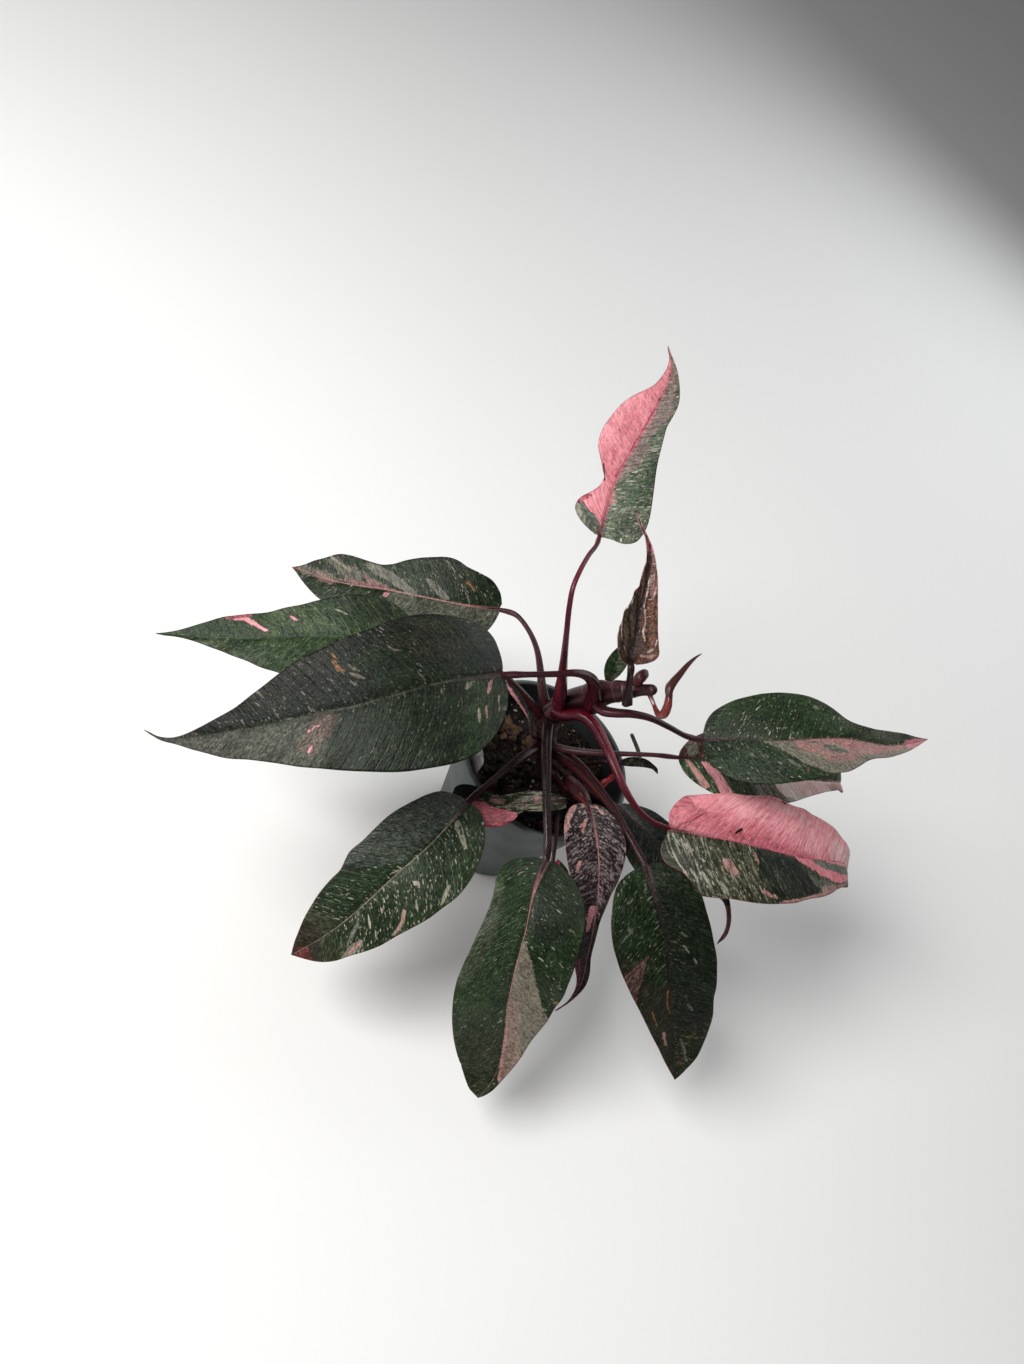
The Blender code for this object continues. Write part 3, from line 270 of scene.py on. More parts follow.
# name: midrib, the two outlines, tilt, fold, curl
LEAVES = {
    "leaf_01": dict(
        place=at_y,
        mid=[(600, 535, 3.0), (607, 511, 4.2), (614, 485, 5.4), (626, 460, 6.6), (641, 434, 7.8), (655, 410, 8.8),
             (667, 385, 9.6), (671, 365, 10.0), (668, 346, 10.4)],
        a=[(595, 534), (588, 528), (580, 519), (575, 508), (577, 501), (582, 496), (588, 493), (595, 489), (600, 485),
           (603, 480), (605, 474), (604, 466), (601, 460), (599, 452), (598, 445), (600, 435), (604, 426), (609, 419),
           (616, 410), (625, 401), (636, 394), (647, 389), (655, 384), (662, 376), (667, 368), (669.5, 358),
           (669, 351), (668, 346)],
        b=[(602, 537), (606, 538), (613, 540), (620, 543), (628, 544), (636, 542), (642, 536), (647, 527), (650, 517),
           (652, 505), (654, 490), (656, 474), (658, 462), (661, 450), (664, 438), (667, 427), (671, 420), (676, 411),
           (679, 403), (680, 392), (679, 380), (677, 370), (674, 361), (671, 354), (668, 346)],
        up=(0.0, -0.8, 0.6), roll=-8, fold=12, curl=0.12),
    "leaf_02": dict(
        place=at_y,
        mid=[(631, 662, -0.6), (635, 642, -0.4), (639, 616, 0.0), (644, 593, 0.4), (649, 572, 0.8), (651, 556, 1.1),
             (648, 540, 1.3), (642, 526, 1.5), (637, 513, 1.7)],
        a=[(626, 664), (621, 659), (618, 650), (618, 636), (620, 625), (624, 614), (629, 605), (632, 596), (637, 588),
           (641, 580), (644, 570), (646, 558), (647, 547), (645, 538), (641, 530), (639, 522), (637, 513)],
        b=[(636, 665), (645, 664), (654, 661), (659, 656), (659, 646), (658, 630), (658, 615), (658, 600), (658, 585),
           (657, 570), (655, 556), (651, 543), (646, 532), (641, 522), (637, 513)],
        up=(0.0, -0.9, 0.4), roll=-30, fold=22, curl=0.05),
    "leaf_03": dict(
        mid=[(703, 739, 8.4), (740, 739, 9.9), (780, 740, 11.2), (820, 738, 12.1), (845, 738, 12.5), (865, 741, 12.7),
             (885, 745, 12.7), (905, 744, 12.7), (918, 742, 12.7), (928, 739, 12.7)],
        a=[(703, 733), (706, 722), (712, 713), (722, 706), (735, 700), (750, 696), (765, 693), (780, 693), (795, 693),
           (808, 696), (822, 702), (836, 711), (850, 720), (862, 726), (875, 729), (890, 731), (905, 734), (918, 737),
           (928, 739)],
        b=[(703, 745), (707, 757), (714, 766), (724, 774), (738, 780), (755, 783), (775, 784), (795, 782), (815, 779),
           (835, 774), (850, 771), (860, 766), (868, 761), (880, 758), (895, 756), (907, 752), (918, 746), (928, 739)],
        roll=-15, fold=8, curl=0.10),
    "leaf_04": dict(
        mid=[(679, 757, 5.6), (700, 759, 6.0), (740, 766, 6.4), (780, 774, 6.5), (815, 780, 6.1), (841, 783, 5.3)],
        tail=[(0.10, 0.30, -0.42), (-0.06, 0.44, -0.54), (-0.10, 0.42, -0.52)], s_max=0.86,
        a=[(680, 751), (686, 743), (696, 736), (710, 731), (730, 730), (750, 733), (770, 738), (790, 745), (810, 754),
           (825, 763), (839, 773)],
        b=[(679, 762), (684, 772), (693, 781), (705, 789), (722, 797), (745, 803), (768, 805), (793, 802), (805, 798),
           (815, 795), (826, 792), (839, 790)],
        a_tail=[(0.91, 0.75), (0.96, 0.35), (1.0, 0.0)], b_tail=[(0.91, 0.6), (0.96, 0.3), (1.0, 0.0)],
        roll=-20, fold=8, curl=0.10),
    "leaf_05": dict(
        mid=[(669, 828, 5.0), (690, 832, 5.6), (715, 837, 6.2), (740, 842, 6.6), (765, 848, 6.8), (795, 856, 6.8),
             (820, 860, 6.3), (845, 864, 5.4)],
        tail=[(0.6, 0.3, -0.6), (0.3, 0.1, -0.9), (0.0, 0.0, -0.9)], s_max=0.86,
        a=[(669, 823), (669, 815), (672, 808), (678, 801), (685, 796), (695, 795), (710, 794), (730, 793), (748, 795),
           (770, 796), (780, 799), (793, 805), (805, 810), (818, 817), (830, 825), (838, 832), (844, 839)],
        b=[(667, 833), (662, 844), (661, 853), (666, 863), (675, 868), (684, 873), (690, 881), (694, 889), (703, 896),
           (715, 898), (730, 899), (748, 902), (765, 904), (780, 904), (795, 903), (810, 899), (822, 897), (832, 893),
           (841, 888)],
        a_tail=[(0.90, 1.1), (0.95, 0.6), (1.0, 0.0)], b_tail=[(0.90, 1.1), (0.95, 0.6), (1.0, 0.0)],
        roll=-20, fold=6, curl=0.10),
    "leaf_06": dict(
        mid=[(619, 806, 2.2), (640, 826, 2.5), (665, 852, 2.4), (688, 873, 2.1), (706, 885, 1.6), (719, 894, 1.1),
             (727, 902, 0.7), (729, 915, 0.3), (727, 930, -0.2), (718, 944, -0.7)],
        a=[(624, 803), (640, 806), (655, 812), (668, 822), (690, 840), (710, 862), (722, 880), (729, 896), (731, 912),
           (730.5, 925), (726, 937), (718, 944)],
        b=[(614, 811), (617, 828), (623, 848), (632, 866), (650, 883), (672, 893), (695, 896), (712, 897),
           (721, 899), (726, 907), (726.5, 918), (724.5, 931), (718, 944)],
        roll=-20, fold=8, curl=0.08),
    "leaf_07": dict(
        mid=[(646, 865, 4.6), (650, 880, 4.7), (655, 896, 4.5), (660, 914, 4.1), (665, 936, 3.4), (669, 960, 2.5),
             (671, 985, 1.4), (672, 1010, 0.1), (674, 1040, -1.6), (675, 1080, -3.9)],
        a=[(641, 866), (632, 871), (624, 877), (618, 884), (614, 895), (612, 910), (611, 925), (613, 945), (617, 960),
           (622, 975), (630, 992), (640, 1012), (650, 1032), (660, 1052), (668, 1068), (675, 1080)],
        b=[(652, 863), (662, 863), (672, 867), (682, 873), (690, 880), (697, 889), (703, 898), (707, 912), (711, 928),
           (714, 942), (717, 957), (717, 975), (715, 995), (712, 1018), (707, 1035), (700, 1052), (690, 1065),
           (681, 1075), (675, 1080)],
        roll=-20, fold=10, curl=0.10),
    "leaf_08": dict(
        mid=[(588, 805, 2.6), (593, 820, 2.7), (597, 840, 2.4), (599, 860, 1.8), (599, 880, 1.0), (598, 900, 0.1),
             (595, 920, -0.9), (591, 942, -2.1), (586, 965, -3.3), (582, 982, -4.2), (571, 1000, -5.0),
             (556, 1011, -5.3)],
        a=[(581, 803), (572, 806), (566, 815), (564, 828), (565, 845), (568, 865), (572, 885), (575, 905), (576, 925),
           (575, 945), (574, 962), (576, 976), (576, 988), (571, 998), (563, 1006), (556, 1011)],
        b=[(594, 804), (601, 806), (610, 813), (618, 823), (624, 836), (626, 850), (624, 865), (619, 880), (612, 893),
           (607, 905), (602, 918), (598, 930), (594, 945), (591, 960), (590, 973), (586, 985), (578, 995),
           (568, 1004), (556, 1011)],
        roll=-15, fold=10, curl=0.10),
    "leaf_09": dict(
        mid=[(547, 860, 2.4), (541, 873, 2.7), (536, 886, 2.8), (532, 900, 2.7), (529, 915, 2.5), (526, 930, 2.1),
             (522, 945, 1.6), (518, 960, 1.0), (514, 975, 0.3), (511, 990, -0.5), (508, 1005, -1.3),
             (506, 1025, -2.5), (503, 1047, -3.7), (499, 1066, -4.7), (491, 1083, -5.5), (478, 1098, -6.0)],
        a=[(540, 858), (528, 857), (518, 858), (508, 862), (500, 868), (496, 878), (494, 890), (490, 905), (484, 920),
           (477, 935), (470, 950), (463, 965), (457, 980), (453, 1000), (452, 1020), (453, 1035), (456, 1050),
           (461, 1066), (466, 1081), (471, 1092), (478, 1098)],
        b=[(552, 861), (560, 866), (568, 873), (576, 884), (582, 897), (585, 910), (585, 925), (582, 940), (578, 957),
           (573, 973), (568, 985), (562, 999), (553, 1012), (546, 1022), (538, 1033), (530, 1043), (522, 1056),
           (512, 1069), (502, 1081), (492, 1091), (484, 1096), (478, 1098)],
        roll=-8, fold=9, curl=0.10),
    "leaf_10": dict(
        mid=[(468, 802, 2.2), (457, 815, 2.5), (445, 829, 2.5), (430, 845, 2.3), (412, 861, 1.9), (398, 873, 1.4),
             (383, 887, 0.7), (368, 901, -0.2), (350, 917, -1.3), (330, 932, -2.5), (308, 946, -3.7),
             (291, 955, -4.5)],
        a=[(462, 797), (452, 793), (440, 791), (428, 794), (415, 800), (400, 808), (388, 816), (375, 828), (362, 841),
           (350, 851), (345, 860), (340, 870), (330, 880), (320, 892), (312, 904), (305, 916), (299, 930), (294, 943),
           (291, 955)],
        b=[(475, 806), (482, 815), (485, 828), (485, 842), (481, 858), (475, 873), (467, 885), (457, 897), (443, 908),
           (428, 919), (412, 928), (397, 936), (382, 945), (366, 951), (350, 956), (335, 961), (320, 962), (305, 959),
           (291, 955)],
        roll=5, fold=9, curl=0.10),
    "leaf_11": dict(
        mid=[(502, 674, 8.6), (480, 677, 9.2), (455, 680, 9.5), (430, 685, 9.5), (405, 692, 9.3), (380, 699, 8.9),
             (355, 706, 8.4), (330, 711, 7.8), (300, 718, 7.0), (270, 725, 6.1), (240, 730, 5.2), (210, 735, 4.3),
             (180, 739, 3.4), (160, 738, 3.0), (144, 730, 2.8)],
        a=[(503, 669), (502, 660), (499, 650), (495, 640), (489, 632), (478, 624), (465, 619), (450, 616), (435, 614),
           (420, 614), (405, 617), (390, 620), (375, 626), (355, 634), (335, 642), (315, 651), (295, 662), (278, 674),
           (260, 688), (240, 704), (220, 716), (200, 727), (185, 734), (172, 737.5), (159, 736.5), (144, 730)],
        b=[(505, 679), (508, 690), (508, 702), (506, 713), (500, 727), (490, 742), (478, 753), (462, 761), (448, 765),
           (425, 769), (400, 772), (375, 772), (350, 771), (325, 769), (300, 767), (275, 763), (250, 760), (225, 758),
           (205, 753), (190, 749), (175, 744), (160, 740), (144, 730)],
        roll=15, fold=8, curl=0.08),
    "leaf_12": dict(
        mid=[(456, 641, 5.6), (430, 640, 6.2), (400, 639, 6.4), (370, 638, 6.3), (340, 637, 6.0), (310, 636, 5.4),
             (280, 637, 4.7), (250, 638, 3.9), (220, 638, 3.2), (190, 636, 2.6), (170, 634, 2.3), (156, 633, 2.1)],
        a=[(453, 634), (443, 627), (428, 622), (410, 616), (402, 609), (392, 603), (380, 598), (365, 595), (350, 595),
           (335, 597), (318, 600), (300, 605), (280, 609), (260, 613), (240, 615), (222, 617), (205, 622), (190, 627),
           (178, 630), (166, 632), (156, 633)],
        b=[(452, 650), (438, 664), (415, 675), (385, 682), (355, 685), (325, 684), (300, 680), (278, 673), (260, 667),
           (245, 660), (230, 655), (215, 649), (203, 644), (190, 640), (176, 636.5), (164, 635), (156, 633)],
        roll=12, fold=8, curl=0.08),
    "leaf_13": dict(
        mid=[(500, 609, 5.2), (480, 607, 5.2), (460, 604, 5.0), (440, 600, 4.7), (415, 595, 4.2), (390, 590, 3.6),
             (370, 587, 3.1), (350, 584, 2.6), (335, 581, 2.2), (320, 577, 1.8), (305, 571, 1.4), (292, 567, 1.1)],
        a=[(502, 604), (501, 595), (498, 588), (492, 580), (480, 573), (468, 567), (458, 560), (448, 557), (435, 557),
           (420, 558), (405, 560), (393, 564), (383, 565), (372, 562), (360, 558), (350, 555), (340, 554), (328, 557),
           (315, 560), (303, 565), (292, 567)],
        b=[(499, 614), (494, 623), (486, 632), (470, 640), (445, 643), (420, 640), (395, 632), (370, 622), (345, 611),
           (325, 602), (317, 597), (308, 588), (300, 578), (296, 572), (292, 567)],
        roll=20, fold=8, curl=0.08),
    # small blades low in the pot
    "leaf_14": dict(
        mid=[(566, 802, 1.6), (548, 801, 2.0), (528, 802, 2.2), (508, 804, 2.1), (490, 804, 1.8), (472, 800, 1.4),
             (452, 794, 0.9)],
        a=[(566, 797), (556, 794), (540, 791), (525, 791), (508, 794), (496, 795), (486, 791), (475, 786),
           (463, 784), (455, 787), (452, 794)],
        b=[(566, 808), (552, 811), (535, 811), (521, 812.5), (514, 820), (502, 826), (488, 827), (476, 822),
           (466, 812), (458, 802), (452, 794)],
        roll=0, fold=4, curl=0.05),
    "leaf_15": dict(
        place=at_y,
        mid=[(609, 681, 2.2), (613, 668, 2.3), (618, 656, 2.4), (626, 646, 2.5), (635, 640, 2.6)],
        a=[(605, 680), (604, 671), (606, 662), (611, 654), (617, 648), (626, 642), (635, 640)],
        b=[(613, 681), (620, 675), (626, 667), (630, 657), (633, 648), (635, 640)],
        up=(0.0, -0.8, 0.6), roll=0, fold=10, curl=0.05),
    "leaf_16": dict(
        mid=[(554, 862, 0.6), (557, 880, 0.6), (556, 898, 0.4), (552, 915, 0.0), (546, 934, -0.6)],
        a=[(550, 862), (545, 872), (542, 888), (541, 905), (542, 920), (546, 934)],
        b=[(558, 859), (564, 865), (568, 871), (569, 880), (567, 895), (560, 915), (546, 934)],
        roll=0, fold=6, curl=0.05),
    "leaf_17": dict(
        mid=[(530, 727, 4.2), (527, 715, 4.7), (520, 702, 5.1), (512, 690, 5.3), (504, 680, 5.4)],
        a=[(529, 726), (527, 718), (523, 711), (516, 701), (509, 692), (504, 680)],
        b=[(531, 726), (531, 718), (528, 708), (522, 697), (514, 687), (504, 680)],
        roll=60, fold=14, curl=0.05),
    "leaf_18": dict(
        mid=[(621, 763, 2.2), (632, 761.5, 2.4), (642, 762, 2.4), (650, 765, 2.3), (655.5, 769, 2.1), (658, 774, 1.9)],
        a=[(621, 765.5), (630, 766.5), (640, 767), (648, 768), (653, 769.5), (655.5, 772), (658, 774)],
        b=[(621, 760), (628, 757.5), (638, 757), (647, 759.5), (653, 764), (657.5, 769), (658, 774)],
        roll=-30, fold=6, curl=0.05),
}

# stalks: place on the stem it leaves from, measured points, base and end
# radius (mm).  The last point is the foot of the blade.
STALKS = {
    "leaf_01": ((567, 703), [(562, 690, 6.4), (563, 672, 8.5), (565, 645, 11.0), (569, 610, 13.2), (576, 580, 14.4),
                             (587, 555, 14.6)], 3.1, 1.5),
    "leaf_02": ((629, 691), [(629, 697, 9.0), (629, 688, 10.1), (629, 676, 11.2)], 1.8, 1.4),
    "leaf_03": ((601, 693), [(606, 708, 7.5), (618, 712, 7.9), (632, 713, 8.2), (650, 717, 8.4), (668, 726, 8.4),
                             (686, 736, 8.3)], 2.5, 1.5),
    "leaf_04": ((546, 739), [(556, 746, 2.2), (575, 751, 2.9), (600, 753, 3.7), (630, 754, 4.6), (655, 755, 5.2)],
                2.3, 1.4),
    "leaf_05": ((556, 710), [(566, 713, 4.8), (581, 716, 5.6), (593, 724, 5.9), (604, 742, 6.1), (614, 765, 6.2),
                             (627, 793, 6.0), (640, 812, 5.6), (654, 823, 5.2)], 3.2, 1.7),
    "leaf_06": ((546, 762), [(558, 768, 0.1), (578, 784, 0.6), (600, 798, 1.4), (612, 804, 1.9)], 1.8, 1.3),
    "leaf_07": ((546, 751), [(557, 756, 1.4), (577, 768, 2.2), (597, 787, 3.0), (614, 810, 3.8), (630, 837, 4.3)],
                3.2, 1.7),
    "leaf_08": ((546, 768), [(552, 778, -0.5), (562, 786, 0.6), (573, 793, 1.6), (582, 799, 2.2)], 2.1, 1.5),
    "leaf_09": ((548.5, 722), [(547, 733, 3.3), (545.5, 755, 3.4), (546, 785, 3.3), (546.5, 815, 3.0),
                               (547, 843, 2.6)], 2.9, 2.0),
    "leaf_10": ((546, 748), [(535, 748, 1.6), (521, 757, 2.0), (503, 772, 2.3), (485, 787, 2.3)], 2.4, 1.5),
    "leaf_11": ((593, 696), [(594.5, 689, 8.0), (592.5, 681, 8.9), (585, 675, 9.6), (573, 673, 9.8), (558, 674, 9.6),
                             (532, 674.5, 9.1)], 3.1, 1.7),
    "leaf_12": ((548, 726), [(539, 714, 2.9), (526, 697, 4.0), (512, 682, 4.9), (495, 668, 5.4), (474, 652, 5.6)],
                2.2, 1.4),
    "leaf_13": ((555, 711), [(544, 697, 3.6), (541, 672, 4.5), (537, 650, 5.2), (529, 631, 5.6), (516, 615, 5.6)],
                2.2, 1.4),
    "leaf_14": (None, [(561, 791, -1.25), (563, 794, -0.6), (565, 799, 0.6)], 1.5, 1.2),
    "leaf_15": ((602, 693), [(607, 684, 7.1)], 1.5, 1.2),
    "leaf_16": (None, [(549, 785, -1.25), (553, 796, -0.2), (557, 815, 0.7), (556, 838, 0.8)], 1.4, 1.2),
    "leaf_17": ((546, 738), [(538, 737, 2.9), (532, 736, 3.8)], 1.4, 1.1),
    "leaf_18": (None, [(580, 765, -1.25), (588, 764, 0.1), (605, 762, 1.7)], 1.4, 1.1),
}

# dry stub of an old stalk beside leaf_18
STUB = [(639, 757, 2.85), (637, 747, 3.2), (631.5, 734, 3.6)]
STUB_R = (1.1, 1.3, 1.2)

# sheath that wraps the newest leaf, bent like an elbow, and the rolled leaf
SHEATH = [(651, 697.5, 9.8), (654, 707, 9.7), (657, 715.5, 9.8), (662, 716, 10.0), (665, 706, 10.4), (667, 696, 10.7)]
SHEATH_R = (1.5, 1.6, 1.8, 2.2, 2.2, 1.6)
SPIKE = [(667.5, 692, 10.9), (668, 685, 11.1), (676, 675, 11.5), (688, 663, 11.9), (701, 653.5, 12.2)]
SPIKE_R = (1.5, 2.2, 2.0, 1.2, 0.35)
BUD = [(634, 676, 9.9), (638, 676, 10.1), (643, 677, 10.2), (648, 678, 10.3)]
BUD_R = (1.6, 2.6, 2.4, 1.0)

# plant label: lower end in the mix, then out over the rim (metres)
LABEL_PATH = [(-0.0290, -0.0345, 0.070), (-0.0309, -0.0367, 0.098), (-0.0325, -0.0387, 0.112),
              (-0.0364, -0.0433, 0.1195), (-0.0412, -0.0490, 0.1215)]


# ------------------------------------------------------------------
# mesh and node helpers
# ------------------------------------------------------------------
def mesh_piece(name, verts, faces, mat, attrs=None, smooth_shade=True):
    me = bpy.data.meshes.new(name)
    me.from_pydata([tuple(v) for v in np.asarray(verts, float)], [], [tuple(int(i) for i in f) for f in faces])
    me.validate()
    for key, data in (attrs or {}).items():
        data = np.asarray(data, np.float32)
        if data.ndim == 1:
            at = me.attributes.new(key, "FLOAT", "POINT")
            at.data.foreach_set("value", data)
        else:
            at = me.attributes.new(key, "FLOAT_VECTOR", "POINT")
            at.data.foreach_set("vector", data.reshape(-1))
    me.polygons.foreach_set("use_smooth", [smooth_shade] * len(me.polygons))
    me.materials.append(mat)
    me.update()
    ob = bpy.data.objects.new(name, me)
    bpy.context.scene.collection.objects.link(ob)
    return ob


def outward(ob):
    """Turns every face of a closed piece to face out."""
    import bmesh
    bm = bmesh.new()
    bm.from_mesh(ob.data)
    bmesh.ops.recalc_face_normals(bm, faces=bm.faces)
    bm.to_mesh(ob.data)
    bm.free()
    return ob


class Nodes:
    """Short forms for building a material's nodes."""

    def __init__(self, name):
        self.mat = bpy.data.materials.new(name)
        self.mat.use_nodes = True
        self.tree = self.mat.node_tree
        self.bsdf = self.tree.nodes["Principled BSDF"]

    def new(self, kind, **props):
        node = self.tree.nodes.new(kind)
        for k, v in props.items():
            setattr(node, k, v)
        return node

    def put(self, socket, value):
        if value is None:
            return
        if isinstance(value, bpy.types.NodeSocket):
            self.tree.links.new(value, socket)
            return
        if socket.type == "RGBA" and len(value) == 3:
            value = (*value, 1.0)
        socket.default_value = value

    def attr(self, name):
        return self.new("ShaderNodeAttribute", attribute_name=name).outputs["Fac"]

    def attr_vec(self, name):
        return self.new("ShaderNodeAttribute", attribute_name=name).outputs["Vector"]

    def split(self, v):
        n = self.new("ShaderNodeSeparateXYZ")
        self.put(n.inputs[0], v)
        return n.outputs[0], n.outputs[1], n.outputs[2]

    def join(self, x, y, z=0.0):
        n = self.new("ShaderNodeCombineXYZ")
        for s, v in zip(n.inputs, (x, y, z)):
            self.put(s, v)
        return n.outputs[0]

    def m(self, op, a, b=None, c=None, clamp=False):
        n = self.new("ShaderNodeMath", operation=op, use_clamp=clamp)
        for s, v in zip(n.inputs, (a, b, c)):
            self.put(s, v)
        return n.outputs[0]

    def add(self, a, b):
        return self.m("ADD", a, b)

    def mul(self, a, b):
        return self.m("MULTIPLY", a, b)

    def scale(self, v, k):
        n = self.new("ShaderNodeVectorMath", operation="MULTIPLY")
        self.put(n.inputs[0], v)
        self.put(n.inputs[1], k)
        return n.outputs[0]

    def step(self, x, lo, hi, a=0.0, b=1.0):
        n = self.new("ShaderNodeMapRange", interpolation_type="SMOOTHSTEP")
        self.put(n.inputs["Value"], x)
        n.inputs["From Min"].default_value = lo
        n.inputs["From Max"].default_value = hi
        n.inputs["To Min"].default_value = a
        n.inputs["To Max"].default_value = b
        return n.outputs["Result"]

    def mix(self, f, a, b, blend="MIX"):
        n = self.new("ShaderNodeMix", data_type="RGBA", blend_type=blend)
        self.put(n.inputs[0], f)
        self.put(n.inputs[6], a)
        self.put(n.inputs[7], b)
        return n.outputs[2]

    def mixf(self, f, a, b):
        n = self.new("ShaderNodeMix", data_type="FLOAT")
        self.put(n.inputs[0], f)
        self.put(n.inputs[2], a)
        self.put(n.inputs[3], b)
        return n.outputs[0]

    def noise(self, v, scale=1.0, detail=2.0, rough=0.5, distort=0.0):
        n = self.new("ShaderNodeTexNoise")
        self.put(n.inputs["Vector"], v)
        n.inputs["Scale"].default_value = scale
        n.inputs["Detail"].default_value = detail
        n.inputs["Roughness"].default_value = rough
        n.inputs["Distortion"].default_value = distort
        return n.outputs["Fac"]

    def cells(self, v, scale=1.0, feature="F1", random=1.0):
        n = self.new("ShaderNodeTexVoronoi", feature=feature)
        self.put(n.inputs["Vector"], v)
        n.inputs["Scale"].default_value = scale
        n.inputs["Randomness"].default_value = random
        return n.outputs

    def bump(self, height, strength, distance, normal=None):
        n = self.new("ShaderNodeBump")
        n.inputs["Strength"].default_value = strength
        n.inputs["Distance"].default_value = distance
        self.put(n.inputs["Height"], height)
        self.put(n.inputs["Normal"], normal)
        return n.outputs[0]

    def coords(self):
        return self.new("ShaderNodeTexCoord").outputs["Object"]

    def finish(self, color, rough, normal=None, coat=0.0, coat_rough=0.2, sheen=0.0, spec=0.5, sub=0.0):
        b = self.bsdf
        self.put(b.inputs["Base Color"], color)
        self.put(b.inputs["Roughness"], rough)
        self.put(b.inputs["Normal"], normal)
        b.inputs["Specular IOR Level"].default_value = spec
        b.inputs["Coat Weight"].default_value = coat
        b.inputs["Coat Roughness"].default_value = coat_rough
        b.inputs["Sheen Weight"].default_value = sheen
        return self.mat


def show(ob, node):
    """A finished piece that stands for a solid of the frame."""
    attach(ob, "root")
    if node:
        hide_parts(*([node] if isinstance(node, str) else node))
    return ob


# signed distances in the picture plane, positive inside
def inside_of(px, poly):
    poly = np.asarray(poly, float)
    a, b = poly, np.roll(poly, -1, axis=0)
    d = np.full(len(px), 1e9)
    odd = np.zeros(len(px), bool)
    for p, q in zip(a, b):
        e = q - p
        w = px - p
        t = np.clip((w @ e) / (e @ e + 1e-12), 0, 1)
        d = np.minimum(d, np.linalg.norm(w - t[:, None] * e, axis=1))
        cross = (p[1] > px[:, 1]) != (q[1] > px[:, 1])
        if abs(e[1]) > 1e-9:
            x = p[0] + (px[:, 1] - p[1]) / e[1] * e[0]
            odd ^= cross & (px[:, 0] < x)
    return np.where(odd, d, -d)


def along_line(px, line, width):
    line = np.asarray(line, float)
    d = np.full(len(px), 1e9)
    for p, q in zip(line[:-1], line[1:]):
        e = q - p
        w = px - p
        t = np.clip((w @ e) / (e @ e + 1e-12), 0, 1)
        d = np.minimum(d, np.linalg.norm(w - t[:, None] * e, axis=1))
    return width - d


# ------------------------------------------------------------------
# leaf blades
# ------------------------------------------------------------------
# colours of the tissues: darker and lighter shade of each (linear)
TONES = {
    "green": ((0.008, 0.017, 0.006), (0.030, 0.052, 0.021)),
    "fresh": ((0.012, 0.026, 0.009), (0.048, 0.080, 0.034)),
    "dark": ((0.004, 0.006, 0.004), (0.017, 0.022, 0.015)),
    # dark green with a grey cast: partly the tissue's tone, partly painted sheen
    "blue": ((0.012, 0.017, 0.014), (0.052, 0.064, 0.055)),
    "olive": ((0.013, 0.017, 0.007), (0.052, 0.056, 0.030)),
    "brown": ((0.010, 0.008, 0.006), (0.040, 0.031, 0.019)),
    "beige": ((0.105, 0.090, 0.068), (0.230, 0.205, 0.155)),
    "stone": ((0.110, 0.108, 0.084), (0.250, 0.245, 0.195)),
    "lime": ((0.050, 0.070, 0.020), (0.190, 0.215, 0.090)),
    "honey": ((0.036, 0.013, 0.008), (0.185, 0.078, 0.046)),
    "putty": ((0.080, 0.054, 0.044), (0.172, 0.120, 0.098)),
    "dusk": ((0.260, 0.110, 0.105), (0.430, 0.205, 0.195)),
    "pale": ((0.420, 0.330, 0.300), (0.800, 0.660, 0.620)),
    # bright pink: partly the tissue's pink, partly painted light
    "glow": ((0.700, 0.240, 0.270), (0.950, 0.460, 0.470)),
    "milk": ((0.620, 0.500, 0.450), (0.950, 0.820, 0.760)),
    "cream": ((0.190, 0.180, 0.128), (0.400, 0.385, 0.295)),
    "grey": ((0.060, 0.070, 0.052), (0.150, 0.158, 0.124)),
    "pink": ((0.500, 0.130, 0.160), (0.760, 0.290, 0.330)),
    "light": ((0.640, 0.230, 0.265), (0.850, 0.400, 0.430)),
    "rose": ((0.230, 0.034, 0.052), (0.440, 0.105, 0.135)),
    "blush": ((0.250, 0.120, 0.108), (0.500, 0.280, 0.250)),
    "red": ((0.055, 0.009, 0.011), (0.160, 0.034, 0.034)),
    "tan": ((0.150, 0.066, 0.022), (0.330, 0.165, 0.066)),
    "black": ((0.003, 0.003, 0.003), (0.009, 0.008, 0.008)),
    "bronze": ((0.024, 0.012, 0.009), (0.120, 0.062, 0.045)),
    "copper": ((0.085, 0.030, 0.020), (0.300, 0.140, 0.095)),
    "ash": ((0.085, 0.066, 0.066), (0.330, 0.270, 0.265)),
    "plum": ((0.008, 0.005, 0.006), (0.040, 0.025, 0.028)),
}
